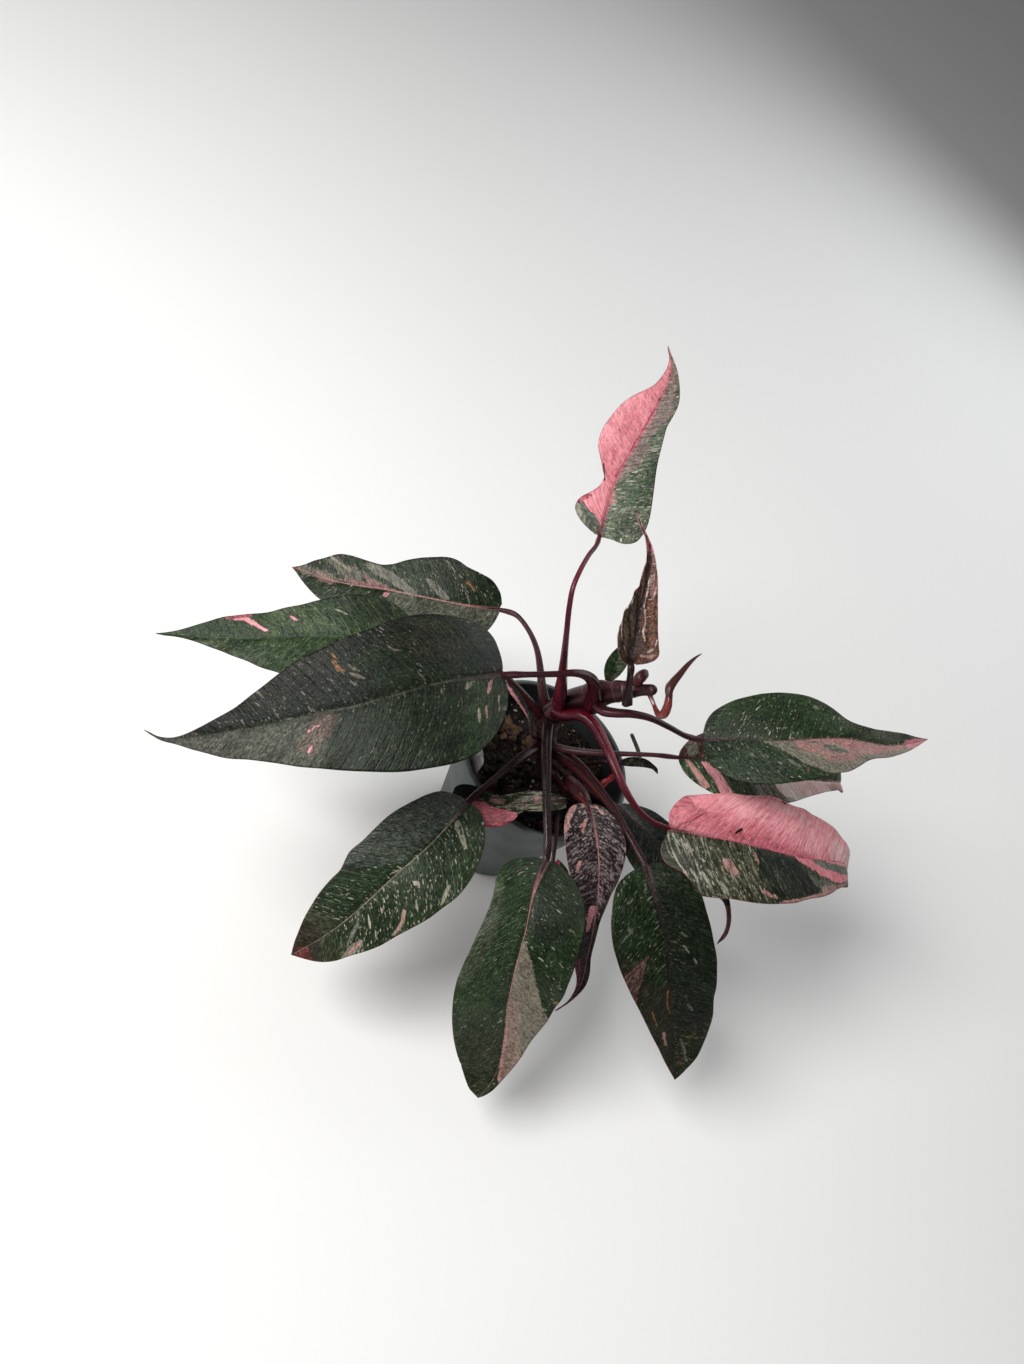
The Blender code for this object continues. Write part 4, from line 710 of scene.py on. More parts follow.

# name: ground tissue, fleck share and tone, streaks (long flecks), midrib
# tone, margin tone, patches painted in order: tone, side (a, b or 0), grain,
# outline as picture positions (a closed outline, or a line with its width)
# the scale on a whole leaf (the shade entry) is partly the leaf's own tone, partly painted shade; over 1 (leaf_04) it
# is painted light
LOOKS = {
    "leaf_01": dict(
        ground="fresh", fleck=0.95, streak=0.60, tone="cream", rib="rose", rib_w=1.3, rim="red", spec=0.30, even=1.3,
        parts=[("stone", "b", 3.0, [(585, 497), (660, 515), (660, 560), (590, 560)], 0.16),
               ("light", "a", 0.6, [(560, 330), (700, 330), (700, 560), (560, 560)]),
               ("pink", "a", 0.6, [(560, 330), (700, 330), (700, 560), (560, 560)], 0.80),
               ("pink", "a", 5.0, [(596, 455), (640, 395), (668, 372), (668, 400), (640, 452), (615, 500), (603, 500)], 0.7),
               ("grey", "a", 1.5, [(560, 480), (576, 497), (583, 500), (588, 509), (595, 513.5), (599, 522), (600, 535),
                                   (590, 560), (560, 560)]),
               ("cream", "a", 3.0, [(560, 505), (578, 506), (586, 522), (600, 536), (590, 560), (560, 560)], 0.5),
               ("rose", "a", 2.0, [(572, 497), (589, 492), (592, 496), (580, 502)]),
               ("putty", "b", 1.6, [(610, 478), (619, 474.5), (623, 472), (627.5, 471), (635, 470), (636.5, 467),
                                    (642, 464), (643.3, 457), (648.5, 454), (651, 449), (650, 445), (647, 442),
                                    (651.5, 437), (656, 432.5), (663.5, 425), (669.5, 419), (673.3, 411.5),
                                    (676.3, 402), (676, 392), (677, 384), (682, 376), (690, 340), (640, 335),
                                    (650, 400)]),
               ("rose", 0, 1.0, [(617, 475), (626, 461), (641, 435), (655, 410)], 1.5),
               ("tan", 0, 0.3, [(619.3, 429.6), (620.2, 430.6)], 0.9),
               ("red", 0, 0.3, [(603.5, 464), (604.5, 480)], 1.0),
               ("black", "b", 0.3, [(647.2, 471), (648, 475)], 1.0),
               ("red", 0, 0.3, [(663.5, 391.5), (664.5, 392.5)], 0.7)]),
    "leaf_02": dict(
        ground="honey", fleck=0.0, streak=0.1, tone="copper", shade=0.76, calm=0.9, rib="plum", rib_w=1.6, rim="blush", gloss=0.16,
        spec=0.75, crinkle=0.0009, relief=0.0004, veins=0.03, even=3.0,
        parts=[("olive", "a", 3.0, [(610, 600), (640, 590), (640, 660), (615, 660)], 0.5),
               ("copper", "b", 3.0, [(651, 590), (657, 575), (661, 660), (648, 664)], 0.5),
               # painted highlights: the pale lines along the creases of both halves
               ("pale", "b", 0.6, [(645, 610), (645.5, 622), (643, 632), (645, 640)], 0.8),
               ("pale", "b", 0.6, [(649, 600), (654, 597), (656, 588)], 0.6),
               ("pale", "b", 0.6, [(648, 652), (655, 648), (657, 640)], 0.9),
               ("pale", "b", 0.6, [(644, 607), (648, 590), (649, 577)], 0.5),
               ("pale", "a", 0.6, [(621, 622), (622, 640), (626, 652)], 0.5),
               ("pale", "a", 0.6, [(634, 596), (629, 606), (623, 614)], 0.5),
               ("blush", "b", 1.0, [(641, 656), (650, 657), (657, 655)], 1.1),
               ("blush", "b", 2.0, [(640, 520), (656, 540), (660, 590), (652, 602), (645, 560)], 0.55),
               ("rose", 0, 2.0, [(630, 505), (655, 510), (658, 548), (630, 556)], 0.9),
               ("red", 0, 2.0, [(640, 500), (656, 500), (650, 533), (634, 530)], 0.8)]),
    "leaf_03": dict(
        ground="green", fleck=0.32, streak=0.12, tone="cream", rib="brown", rib_w=0.8, rim="brown", even=1.9, shade=0.86, calm=0.85,
        # the first patch, over the base of side b: partly the leaf's dark green, partly painted sheen
        parts=[("blue", "b", 3.0, [(700, 741), (760, 741), (780, 752), (800, 766), (760, 790), (690, 790)], 0.35),
               ("beige", "b", 1.0, [(757, 738), (757.5, 740.5), (768, 743), (776, 746), (785.7, 751), (797, 758.5), (810, 766), (823, 770.5),
                                   (834, 773.5), (849, 778), (900, 790), (960, 740), (925, 735), (900, 735),
                                   (860, 735), (800, 735)]),
               ("grey", "b", 1.8, [(757, 739), (776, 747), (797, 758.5), (823, 770.5), (849, 778), (872, 772), (850, 765),
                                   (827, 763), (806, 753), (788, 743)], 0.45),
               ("dusk", "b", 1.2, [(793, 739), (800, 735), (860, 735), (930, 736), (930, 742), (905, 748), (885, 752.5),
                                   (864, 754.7), (856, 759), (848, 762), (827, 760.5), (821, 754), (806, 750),
                                   (794, 745)], 0.95),
               ("stone", "b", 1.8, [(788, 740), (815, 739), (838, 742), (846, 748), (870, 750), (860, 760), (845, 764),
                                    (829, 758), (812, 749)], 0.35),
               ("grey", "b", 0.8, [(822, 744.5), (834, 745), (848, 750), (849, 753), (838, 752.5), (824, 748.5)]),
               ("grey", "b", 0.6, [(806, 740.6), (817, 740.8), (820, 743), (812, 743)]),
               ("grey", "b", 0.8, [(787.5, 757.8), (791, 759), (797, 763), (802.5, 765.5), (800, 767), (792, 763.5)]),
               ("blush", "b", 0.3, [(808, 768), (808.6, 771.2)], 1.2),
               ("grey", "a", 0.5, [(811, 708), (815, 704.5), (819, 708.5), (817, 710)]),
               ("olive", "a", 4.0, [(830, 700), (930, 730), (930, 742), (860, 742)], 0.7),
               ("pink", 0, 1.0, [(905, 740), (940, 736), (940, 745), (908, 749)], 0.7)]),
    "leaf_04": dict(
        ground="fresh", fleck=0.30, streak=0.55, tone="cream", rib="brown", rib_w=0.7, rim="red", calm=0.95, shade=1.05,
        parts=[("bronze", "a", 2.0, [(670, 757), (672, 738), (690, 728), (708, 734), (703, 757)]),
               ("stone", "a", 1.0, [(684, 744), (696, 740), (700, 754), (690, 757)], 0.7),
               ("blush", "b", 1.2, [(683, 757), (688, 759), (700, 772), (711, 786), (705, 790), (696, 777)]),
               ("light", "b", 1.2, [(701, 762), (707, 762), (719, 771), (727, 783), (733, 795), (722, 795), (713, 778)],
                0.85),
               ("beige", "b", 1.0, [(676, 762), (682, 766), (690, 778), (684, 778)]),
               ("stone", "b", 1.2, [(755, 786), (766, 784), (782, 783), (795, 790), (800, 812), (765, 814)]),
               ("milk", "b", 1.2, [(774, 784), (790, 782), (812, 780), (826, 779), (850, 784), (850, 800), (810, 806),
                                   (790, 803), (782, 794)]),
               # the brightest pink over the end of side b: partly the tissue's pink, partly painted light
               ("glow", "b", 3.0, [(790, 780), (822, 778), (850, 784), (850, 798), (826, 798), (800, 796)], 0.42),
               ("blush", "b", 1.2, [(826, 784), (838, 783), (850, 787), (850, 797), (834, 794)], 0.70),
               ("stone", "b", 1.0, [(770, 795), (790, 797), (800, 803), (775, 812)], 0.7)]),
    "leaf_05": dict(
        ground="olive", fleck=0.70, streak=0.66, tone="cream", rib="rose", rib_w=0.9, rim="dusk", spec=0.16, shade=0.90, calm=0.88,
        parts=[("dark", "b", 1.2, [(754, 844), (775, 848), (793, 853), (797, 858), (806, 872), (823, 891), (812, 896),
                                   (789, 901), (774, 892), (760, 868)], 0.92),
               ("pink", "a", 0.6, [(650, 780), (900, 780), (900, 880), (650, 880)]),
               ("rose", "a", 3.5, [(650, 790), (676, 790), (692, 800), (730, 824), (775, 840), (800, 852), (810, 868),
                                   (660, 840)], 0.65),
               ("pink", "a", 2.0, [(686, 798), (720, 796), (735, 806), (712, 812), (694, 806)], 0.6),
               # the lighter pink, the brightest pink and the pale patches over the upper part of side a: partly the
               # tissue's paler pink, partly painted light and painted highlights
               ("light", "a", 5.0, [(720, 796), (790, 798), (848, 826), (852, 880), (815, 860), (790, 840), (735, 812)],
                0.95),
               ("glow", "a", 5.0, [(735, 790), (790, 796), (848, 824), (852, 862), (815, 846), (780, 824), (740, 806)],
                0.55),
               ("pale", "a", 2.5, [(770, 800), (800, 812), (812, 824), (798, 820), (776, 808)], 0.30),
               ("pale", "a", 2.5, [(836, 838), (850, 850), (850, 878), (834, 868), (828, 852)], 0.5),
               ("rose", "a", 1.6, [(666, 812), (676, 800), (686, 795), (694, 800), (697, 812), (690, 806), (680, 808),
                                   (672, 822)], 0.75),
               ("rose", "a", 1.2, [(668, 830), (690, 822), (706, 812)], 1.0),
               ("pink", "b", 1.2, [(790, 850), (800, 851), (860, 858), (860, 876), (840, 884), (824, 877), (810, 868),
                                   (800, 862)]),
               ("grey", "b", 1.2, [(809, 858), (826, 861), (850, 868), (850, 876), (834, 872), (822, 868)]),
               ("grey", "b", 1.2, [(806, 872), (818, 879), (838, 884), (850, 880), (850, 892), (838, 893), (823, 893),
                                   (812, 881)]),
               ("blush", "b", 1.2, [(822, 886), (850, 884), (850, 896), (828, 898), (820, 894)], 0.7),
               ("blush", "b", 1.2, [(722, 860), (727, 858), (736, 867), (739, 875), (734, 876), (726, 869)], 0.8),
               ("blush", "b", 1.2, [(754, 852), (757, 857), (759, 864)], 0.9),
               ("cream", "b", 0.8, [(668, 835), (671, 847), (677, 860)], 0.7),
               ("stone", "b", 0.8, [(673, 834), (678, 848), (686, 863)], 0.9),
               ("cream", "b", 0.8, [(680, 837), (685, 851), (692, 864)], 0.6),
               ("stone", "b", 0.8, [(665, 840), (668, 850), (672, 857)], 0.8),
               ("cream", "b", 0.8, [(672, 852), (679, 864), (687, 874)], 0.6),
               ("stone", "b", 0.8, [(686, 838), (692, 853), (698, 866)], 0.7),
               ("cream", "b", 0.8, [(677, 840), (680, 846)], 0.8),
               ("cream", "b", 0.8, [(690, 868), (696, 877)], 0.7),
               ("blush", "b", 1.4, [(764, 891), (776, 898)], 1.5),
               ("blush", "b", 0.6, [(783, 903), (800, 901), (832, 892)], 2.2),
               ("black", "a", 0.3, [(736, 833), (742, 829)], 1.5),
               ("tan", "a", 0.3, [(761, 816.6), (762, 817.6)], 1.0),
               ("tan", "a", 0.3, [(775, 813), (775.8, 814)], 0.8),
               ("red", "a", 0.6, [(782, 801), (786, 804)], 1.2)]),
    "leaf_06": dict(
        # the ground: partly the leaf's dark green, partly painted sheen
        ground="blue", fleck=0.12, streak=0.40, tone="grey", rib="plum", rib_w=1.0, rim="plum", shade=0.42,
        parts=[("green", "b", 4.0, [(610, 830), (680, 880), (680, 900), (610, 900)], 0.6),
               ("pink", 0, 2.0, [(722, 905), (735, 905), (735, 950), (715, 950)], 0.75)]),
    "leaf_07": dict(
        ground="green", fleck=0.58, streak=0.22, tone="stone", rib="plum", rib_w=1.0, rim="red", rib_base=3.2,
        even=1.7, shade=0.66, spec=0.10,
        parts=[("dark", "b", 4.0, [(645, 860), (720, 870), (720, 1000), (700, 1030), (676, 1030), (668, 960), (655, 900)],
                0.75),
               ("brown", "a", 5.0, [(618, 955), (672, 990), (680, 1085), (660, 1085), (615, 990)], 0.7),
               ("brown", "a", 1.0, [(649, 952), (640, 961), (626, 972), (620, 985), (636, 1010), (641, 986), (645, 968)]),
               ("blush", "a", 1.2, [(649, 954), (640, 962), (627, 973), (624, 980), (636, 1004), (641, 986), (645, 968)], 0.35),
               ("grey", "b", 0.6, [(681, 1040), (684, 1048), (686, 1060)], 1.6),
               ("grey", "b", 0.6, [(688, 1004), (692, 1010)], 1.2),
               ("grey", "b", 0.6, [(682, 933), (687, 937)], 1.2),
               ("stone", "b", 0.6, [(684, 946), (689, 953)], 1.2),
               ("stone", "b", 0.6, [(694, 958), (697, 963)], 1.0),
               ("stone", "a", 0.6, [(655, 885), (661, 893)], 0.9),
               ("stone", "a", 0.6, [(628, 905), (633, 899)], 0.9),
               ("tan", "a", 1.0, [(668, 992), (667, 1004), (670, 1014)], 1.2),
               ("tan", "a", 1.0, [(676, 1002), (677, 1012)], 0.8),
               ("tan", "a", 1.0, [(652, 1012), (657, 1026)], 0.8),
               ("grey", "a", 0.6, [(629, 929), (632, 932)], 2.0),
               ("grey", "a", 0.6, [(645, 884), (646, 890)], 1.2),
               ("blush", "a", 0.8, [(664, 1034), (665, 1044)], 1.5)], warm=0.8),
    "leaf_08": dict(
        ground="plum", fleck=1.60, streak=0.80, tone="ash", rib="dusk", rib_w=0.9, rim="dusk",
        veins=0.05, even=2.4,
        parts=[("blush", "a", 1.8, [(566, 814), (571, 806), (579, 804), (574, 811), (570, 822), (568, 832), (564, 834)], 0.85),
               ("blush", "b", 1.4, [(593, 807), (598, 808), (602, 813)], 1.1),
               ("blush", "a", 1.2, [(580, 826), (585, 822), (583, 832)], 1.3),
               ("blush", "a", 1.0, [(580, 862), (577, 872)], 1.6),
               ("light", "a", 1.0, [(590, 906), (598, 905), (594, 918), (588, 932), (586, 934), (586, 920)]),
               ("plum", 0, 3.0, [(560, 936), (640, 925), (640, 1020), (540, 1020)], 0.75),
               ("rose", "a", 2.5, [(568, 960), (580, 960), (581, 985), (570, 985)], 0.45)]),
    "leaf_09": dict(
        ground="green", fleck=0.24, streak=0.16, tone="cream", rib="dusk", rib_w=0.6, rim="brown", rib_base=3.4,
        even=1.8, spec=0.22, calm=0.93, shade=0.88,
        # the first patch, pale streaks along the left margin of side a, is a painted sheen
        parts=[("stone", "a", 3.0, [(492, 864), (500, 867), (503, 890), (498, 920), (489, 950), (477, 975), (464, 992),
                                    (456, 985), (462, 955), (474, 925), (486, 890)], 0.30),
               ("fresh", "a", 5.0, [(500, 860), (520, 880), (520, 940), (500, 1010), (470, 1030), (450, 1000),
                                    (480, 900)], 0.5),
               ("dark", "b", 4.0, [(540, 850), (575, 872), (588, 915), (560, 950), (535, 940), (528, 915)], 0.55),
               ("olive", "a", 5.0, [(450, 1030), (505, 1030), (500, 1100), (460, 1100)], 0.8),
               ("beige", "b", 0.9, [(524, 931), (528.5, 953.5), (532.8, 966), (536, 983), (539.2, 996), (542.4, 1009),
                                    (546, 1016), (570, 1040), (520, 1110), (498, 1086), (501, 1064), (503, 1045),
                                    (505, 1030), (495, 1000), (515, 950)]),
               ("blush", "b", 2.5, [(507, 1000), (520, 1000), (520, 1080), (500, 1090)], 0.30),
               ("blush", "b", 0.8, [(511, 985), (507.5, 1005), (505, 1040), (501.5, 1062), (499, 1082)], 1.3),
               ("blush", 0, 0.6, [(533, 905), (527, 930), (522, 950), (516, 968)], 0.9),
               ("tan", "b", 0.4, [(555, 1003), (557, 1004)], 1.8),
               ("grey", "b", 0.2, [(569.5, 929.5), (571, 931)], 1.2)]),
    "leaf_10": dict(
        ground="green", fleck=0.64, streak=0.24, tone="cream", rib="beige", rib_w=0.8, rim="red", even=1.4, shade=0.92,
        # the first two patches over the upper half of side a: partly the leaf's dark green, partly painted sheen
        parts=[("blue", "a", 1.8, [(468, 804), (449, 822), (419, 851), (402.6, 863), (379.5, 865.5), (358.5, 868),
                                   (335, 874), (340, 845), (370, 815), (400, 790), (440, 780), (470, 790)], 0.82),
               ("stone", "a", 2.5, [(468, 804), (449, 822), (419, 851), (402, 861), (360, 860), (340, 872), (345, 850),
                                    (380, 810), (410, 792), (450, 785)], 0.10),
               ("olive", 0, 6.0, [(285, 920), (330, 915), (345, 965), (285, 965)], 0.9),
               ("brown", 0, 4.0, [(285, 925), (318, 922), (322, 965), (285, 965)], 0.9),
               ("red", 0, 2.0, [(296, 945), (308, 948), (312, 962), (294, 960)], 0.8),
               ("cream", "b", 0.8, [(456, 820), (461, 822), (464, 834), (468, 849), (464, 850), (459, 837), (454.5, 828)],
                0.8),
               ("cream", "b", 0.5, [(413, 881), (419, 880.5), (419, 885.5), (414, 886)]),
               ("cream", "b", 0.8, [(447, 885), (451, 885), (444.5, 902), (440, 906)], 0.9),
               ("beige", "b", 0.8, [(402.6, 909), (406.5, 911), (403.6, 925), (394, 937), (392.5, 934), (400.5, 922)]),
               ("blush", "b", 0.8, [(402.6, 909), (406.5, 911), (403.6, 925), (394, 937), (392.5, 934), (400.5, 922)], 0.5),
               ("cream", "b", 0.8, [(382.5, 898), (384.5, 902), (382.5, 912), (380, 915)], 0.8),
               ("grey", "b", 0.8, [(359.5, 916), (358, 928), (350, 943), (345, 950), (351, 932)]),
               ("beige", "b", 0.9, [(339.6, 959), (350, 945), (364.8, 938.5), (363, 946), (350, 957)]),
               ("blush", "b", 0.9, [(347, 954), (355, 947), (360, 944)], 0.8),
               ("green", "b", 0.5, [(460, 826), (461.5, 834)], 1.0),
               ("cream", "a", 0.8, [(397, 866), (402, 869), (390, 874)], 0.9)]),
    "leaf_11": dict(
        ground="dark", fleck=0.34, streak=0.14, tone="stone", rib="olive", rib_w=1.1, rim="plum", even=2.3, shade=0.75,
        parts=[("green", "b", 8.0, [(505, 676), (480, 678), (430, 686), (355, 708), (240, 732), (250, 790), (470, 780),
                                    (480, 740)], 0.45),
               ("green", "a", 9.0, [(480, 676), (380, 690), (360, 660), (420, 610), (500, 620)], 0.45),
               ("fresh", "b", 9.0, [(470, 684), (530, 678), (535, 700), (525, 740), (500, 780), (460, 775), (464, 738),
                                    (468, 705)], 0.6),
               ("brown", "a", 8.0, [(140, 720), (200, 700), (300, 640), (330, 632), (350, 640), (290, 690), (200, 730)],
                0.40),
               ("brown", "a", 8.0, [(388, 635), (430, 620), (470, 640), (460, 665), (410, 660)], 0.45),
               ("stone", "b", 6.0, [(150, 735), (300, 718), (330, 724), (320, 790), (150, 780)], 0.34),
               ("dusk", "b", 4.0, [(318, 714), (338, 716), (330, 735), (312, 754), (298, 750), (308, 728)], 0.22),
               ("beige", "b", 0.8, [(464.5, 691.5), (466.5, 683), (476, 679), (471, 687)]),
               ("blush", "b", 0.8, [(486.5, 693), (488, 683), (494, 677), (492, 686), (488.5, 696)]),
               ("cream", "b", 1.0, [(478.5, 707), (479.5, 722)], 0.9),
               ("blush", "b", 1.0, [(486, 705), (487, 718)], 0.8),
               ("cream", "b", 1.0, [(499, 695), (499, 712)], 0.7),
               ("tan", "a", 1.5, [(331, 651), (335, 654), (337, 663), (345, 672), (338, 670), (332, 662)]),
               ("beige", "a", 0.8, [(343.5, 663), (352, 665), (362, 672), (354, 671)], 0.9),
               ("beige", "a", 0.8, [(346, 672), (356, 673), (368, 679.5), (356, 678)], 0.9),
               ("beige", "a", 0.5, [(386, 637.5), (387, 645), (393, 650), (403, 650)], 0.9),
               ("light", "b", 0.8, [(308, 732), (313, 728), (320, 725)], 1.1),
               ("light", "b", 0.8, [(309, 752), (312, 747)], 1.6),
               ("blush", "b", 0.8, [(299, 743), (303, 741)], 0.9),
               ("grey", "a", 0.8, [(308, 716), (293, 718), (278, 721)], 0.8)]),
    "leaf_12": dict(
        ground="fresh", fleck=0.62, streak=0.20, tone="lime", rib="green", rib_w=0.9, rim="plum", even=1.8, shade=0.80,
        parts=[("lime", "a", 5.0, [(275, 604), (325, 612), (335, 630), (265, 634)], 0.14),
               ("dark", "a", 6.0, [(300, 590), (390, 590), (400, 625), (350, 620), (330, 600)], 0.5),
               ("stone", "b", 6.0, [(190, 636), (240, 640), (262, 660), (230, 680), (190, 650)], 0.14),
               ("light", "a", 0.8, [(229, 619), (246, 617), (254, 621), (259, 625), (269, 630), (266, 632), (254, 626),
                                    (243, 620.5)]),
               ("light", "a", 0.6, [(289.5, 616), (294, 617), (298.5, 621), (293, 620)]),
               ("cream", "a", 0.4, [(336, 609), (347, 614)], 0.9),
               ("rose", "a", 1.0, [(224, 618), (250, 615.5)], 1.4)]),
    "leaf_13": dict(
        ground="green", fleck=0.42, streak=0.42, tone="cream", rib="dusk", rib_w=0.9, rim="plum", shade=0.63,
        parts=[("stone", "b", 3.0, [(385, 592), (510, 606), (510, 650), (412, 640)], 0.50),
               ("stone", "a", 1.0, [(364, 563), (372, 563), (392, 572), (406, 582), (417, 593), (409, 594), (398, 588),
                                    (388, 580), (374, 574)]),
               ("stone", "a", 0.9, [(425, 578.5), (431, 579.5), (441, 588), (451, 600), (441, 599), (433, 590)]),
               ("beige", "a", 1.2, [(326, 560), (338, 556), (347, 566), (362, 578), (356, 584), (342, 574)], 0.85),
               ("beige", "a", 1.2, [(345, 564), (362, 570), (378, 581), (392, 590), (378, 588), (362, 578)], 0.8),
               ("cream", "a", 1.0, [(330, 556), (338, 562), (350, 570)], 1.2),
               ("stone", "a", 0.8, [(446, 560), (456, 572), (462, 578)], 0.8),
               ("dusk", "a", 1.2, [(332, 578), (347, 582), (367, 586), (387, 589.5), (400, 592.5), (387, 585),
                                    (372, 580), (364, 574.5), (366, 582), (350, 579)], 0.75),
               ("light", "b", 0.8, [(384, 592), (390, 593), (387, 598), (383, 596)], 0.8),
               ("beige", 0, 1.6, [(294, 565), (308, 566), (324, 570), (337.5, 578), (336, 583), (318, 578), (303, 575)], 0.9),
               ("blush", 0, 1.6, [(312, 571), (323, 573), (337.5, 580.5), (332, 585), (318, 580)], 0.5),
               ("tan", "a", 2.0, [(468, 582), (474, 590)], 1.2),
               ("red", 0, 1.0, [(288, 563), (298, 566), (296, 572), (290, 570)])]),
    "leaf_14": dict(
        ground="olive", fleck=0.40, streak=1.05, tone="cream", rib="green", rib_w=0.5, rim="plum", lengthwise=True,
        parts=[("dark", 0, 1.0, [(440, 780), (476, 783), (486, 790), (482, 797), (468, 802), (440, 806)]),
               ("pink", "b", 0.5, [(466, 803), (480, 801), (496, 808), (517, 812.5), (520, 840), (460, 840)]),
               ("rose", "b", 3.0, [(466, 803), (480, 801), (500, 811), (512, 814), (500, 824), (470, 826)], 0.75),
               ("blush", "b", 2.0, [(486, 816), (506, 815), (512, 822), (496, 824)], 0.4),
               ("rose", "b", 0.5, [(486, 827), (500, 825), (512, 821)], 1.0),
               ("blush", 0, 1.5, [(534, 796), (541, 797), (541, 803), (535, 803)], 0.8),
               ("blush", 0, 1.2, [(550, 798), (558, 799), (556, 803), (550, 803)], 0.8),
               ("blush", "b", 1.2, [(517, 802), (527, 803), (528, 806), (518, 805)], 0.8),
               ("blush", "a", 1.2, [(492, 797), (506, 800), (504, 803), (490, 801)], 0.7)]),
    "leaf_15": dict(ground="fresh", fleck=0.1, streak=0.2, tone="grey", rib="dark", rib_w=0.6, rim="plum",
                    parts=[("grey", "b", 2.0, [(620, 640), (640, 640), (640, 690), (614, 690)], 0.5)]),
    "leaf_16": dict(ground="green", fleck=0.3, streak=0.2, tone="cream", rib="olive", rib_w=0.5, rim="red",
                    parts=[("rose", 0, 0.8, [(548, 858), (560, 858), (560, 868), (548, 868)])]),
    "leaf_17": dict(ground="dark", fleck=0.15, streak=0.2, tone="grey", rib="dark", rib_w=0.4, rim="plum",
                    # the pink of side a: partly the tissue's pink, partly painted light
                    parts=[("glow", "a", 0.6, [(490, 670), (560, 670), (560, 760), (490, 760)])]),
    "leaf_18": dict(ground="brown", fleck=0.1, streak=0.2, tone="grey", rib="brown", rib_w=0.4, rim="brown",
                    parts=[("grey", 0, 0.3, [(627.5, 763.5), (631.5, 760)], 1.5)]),
}


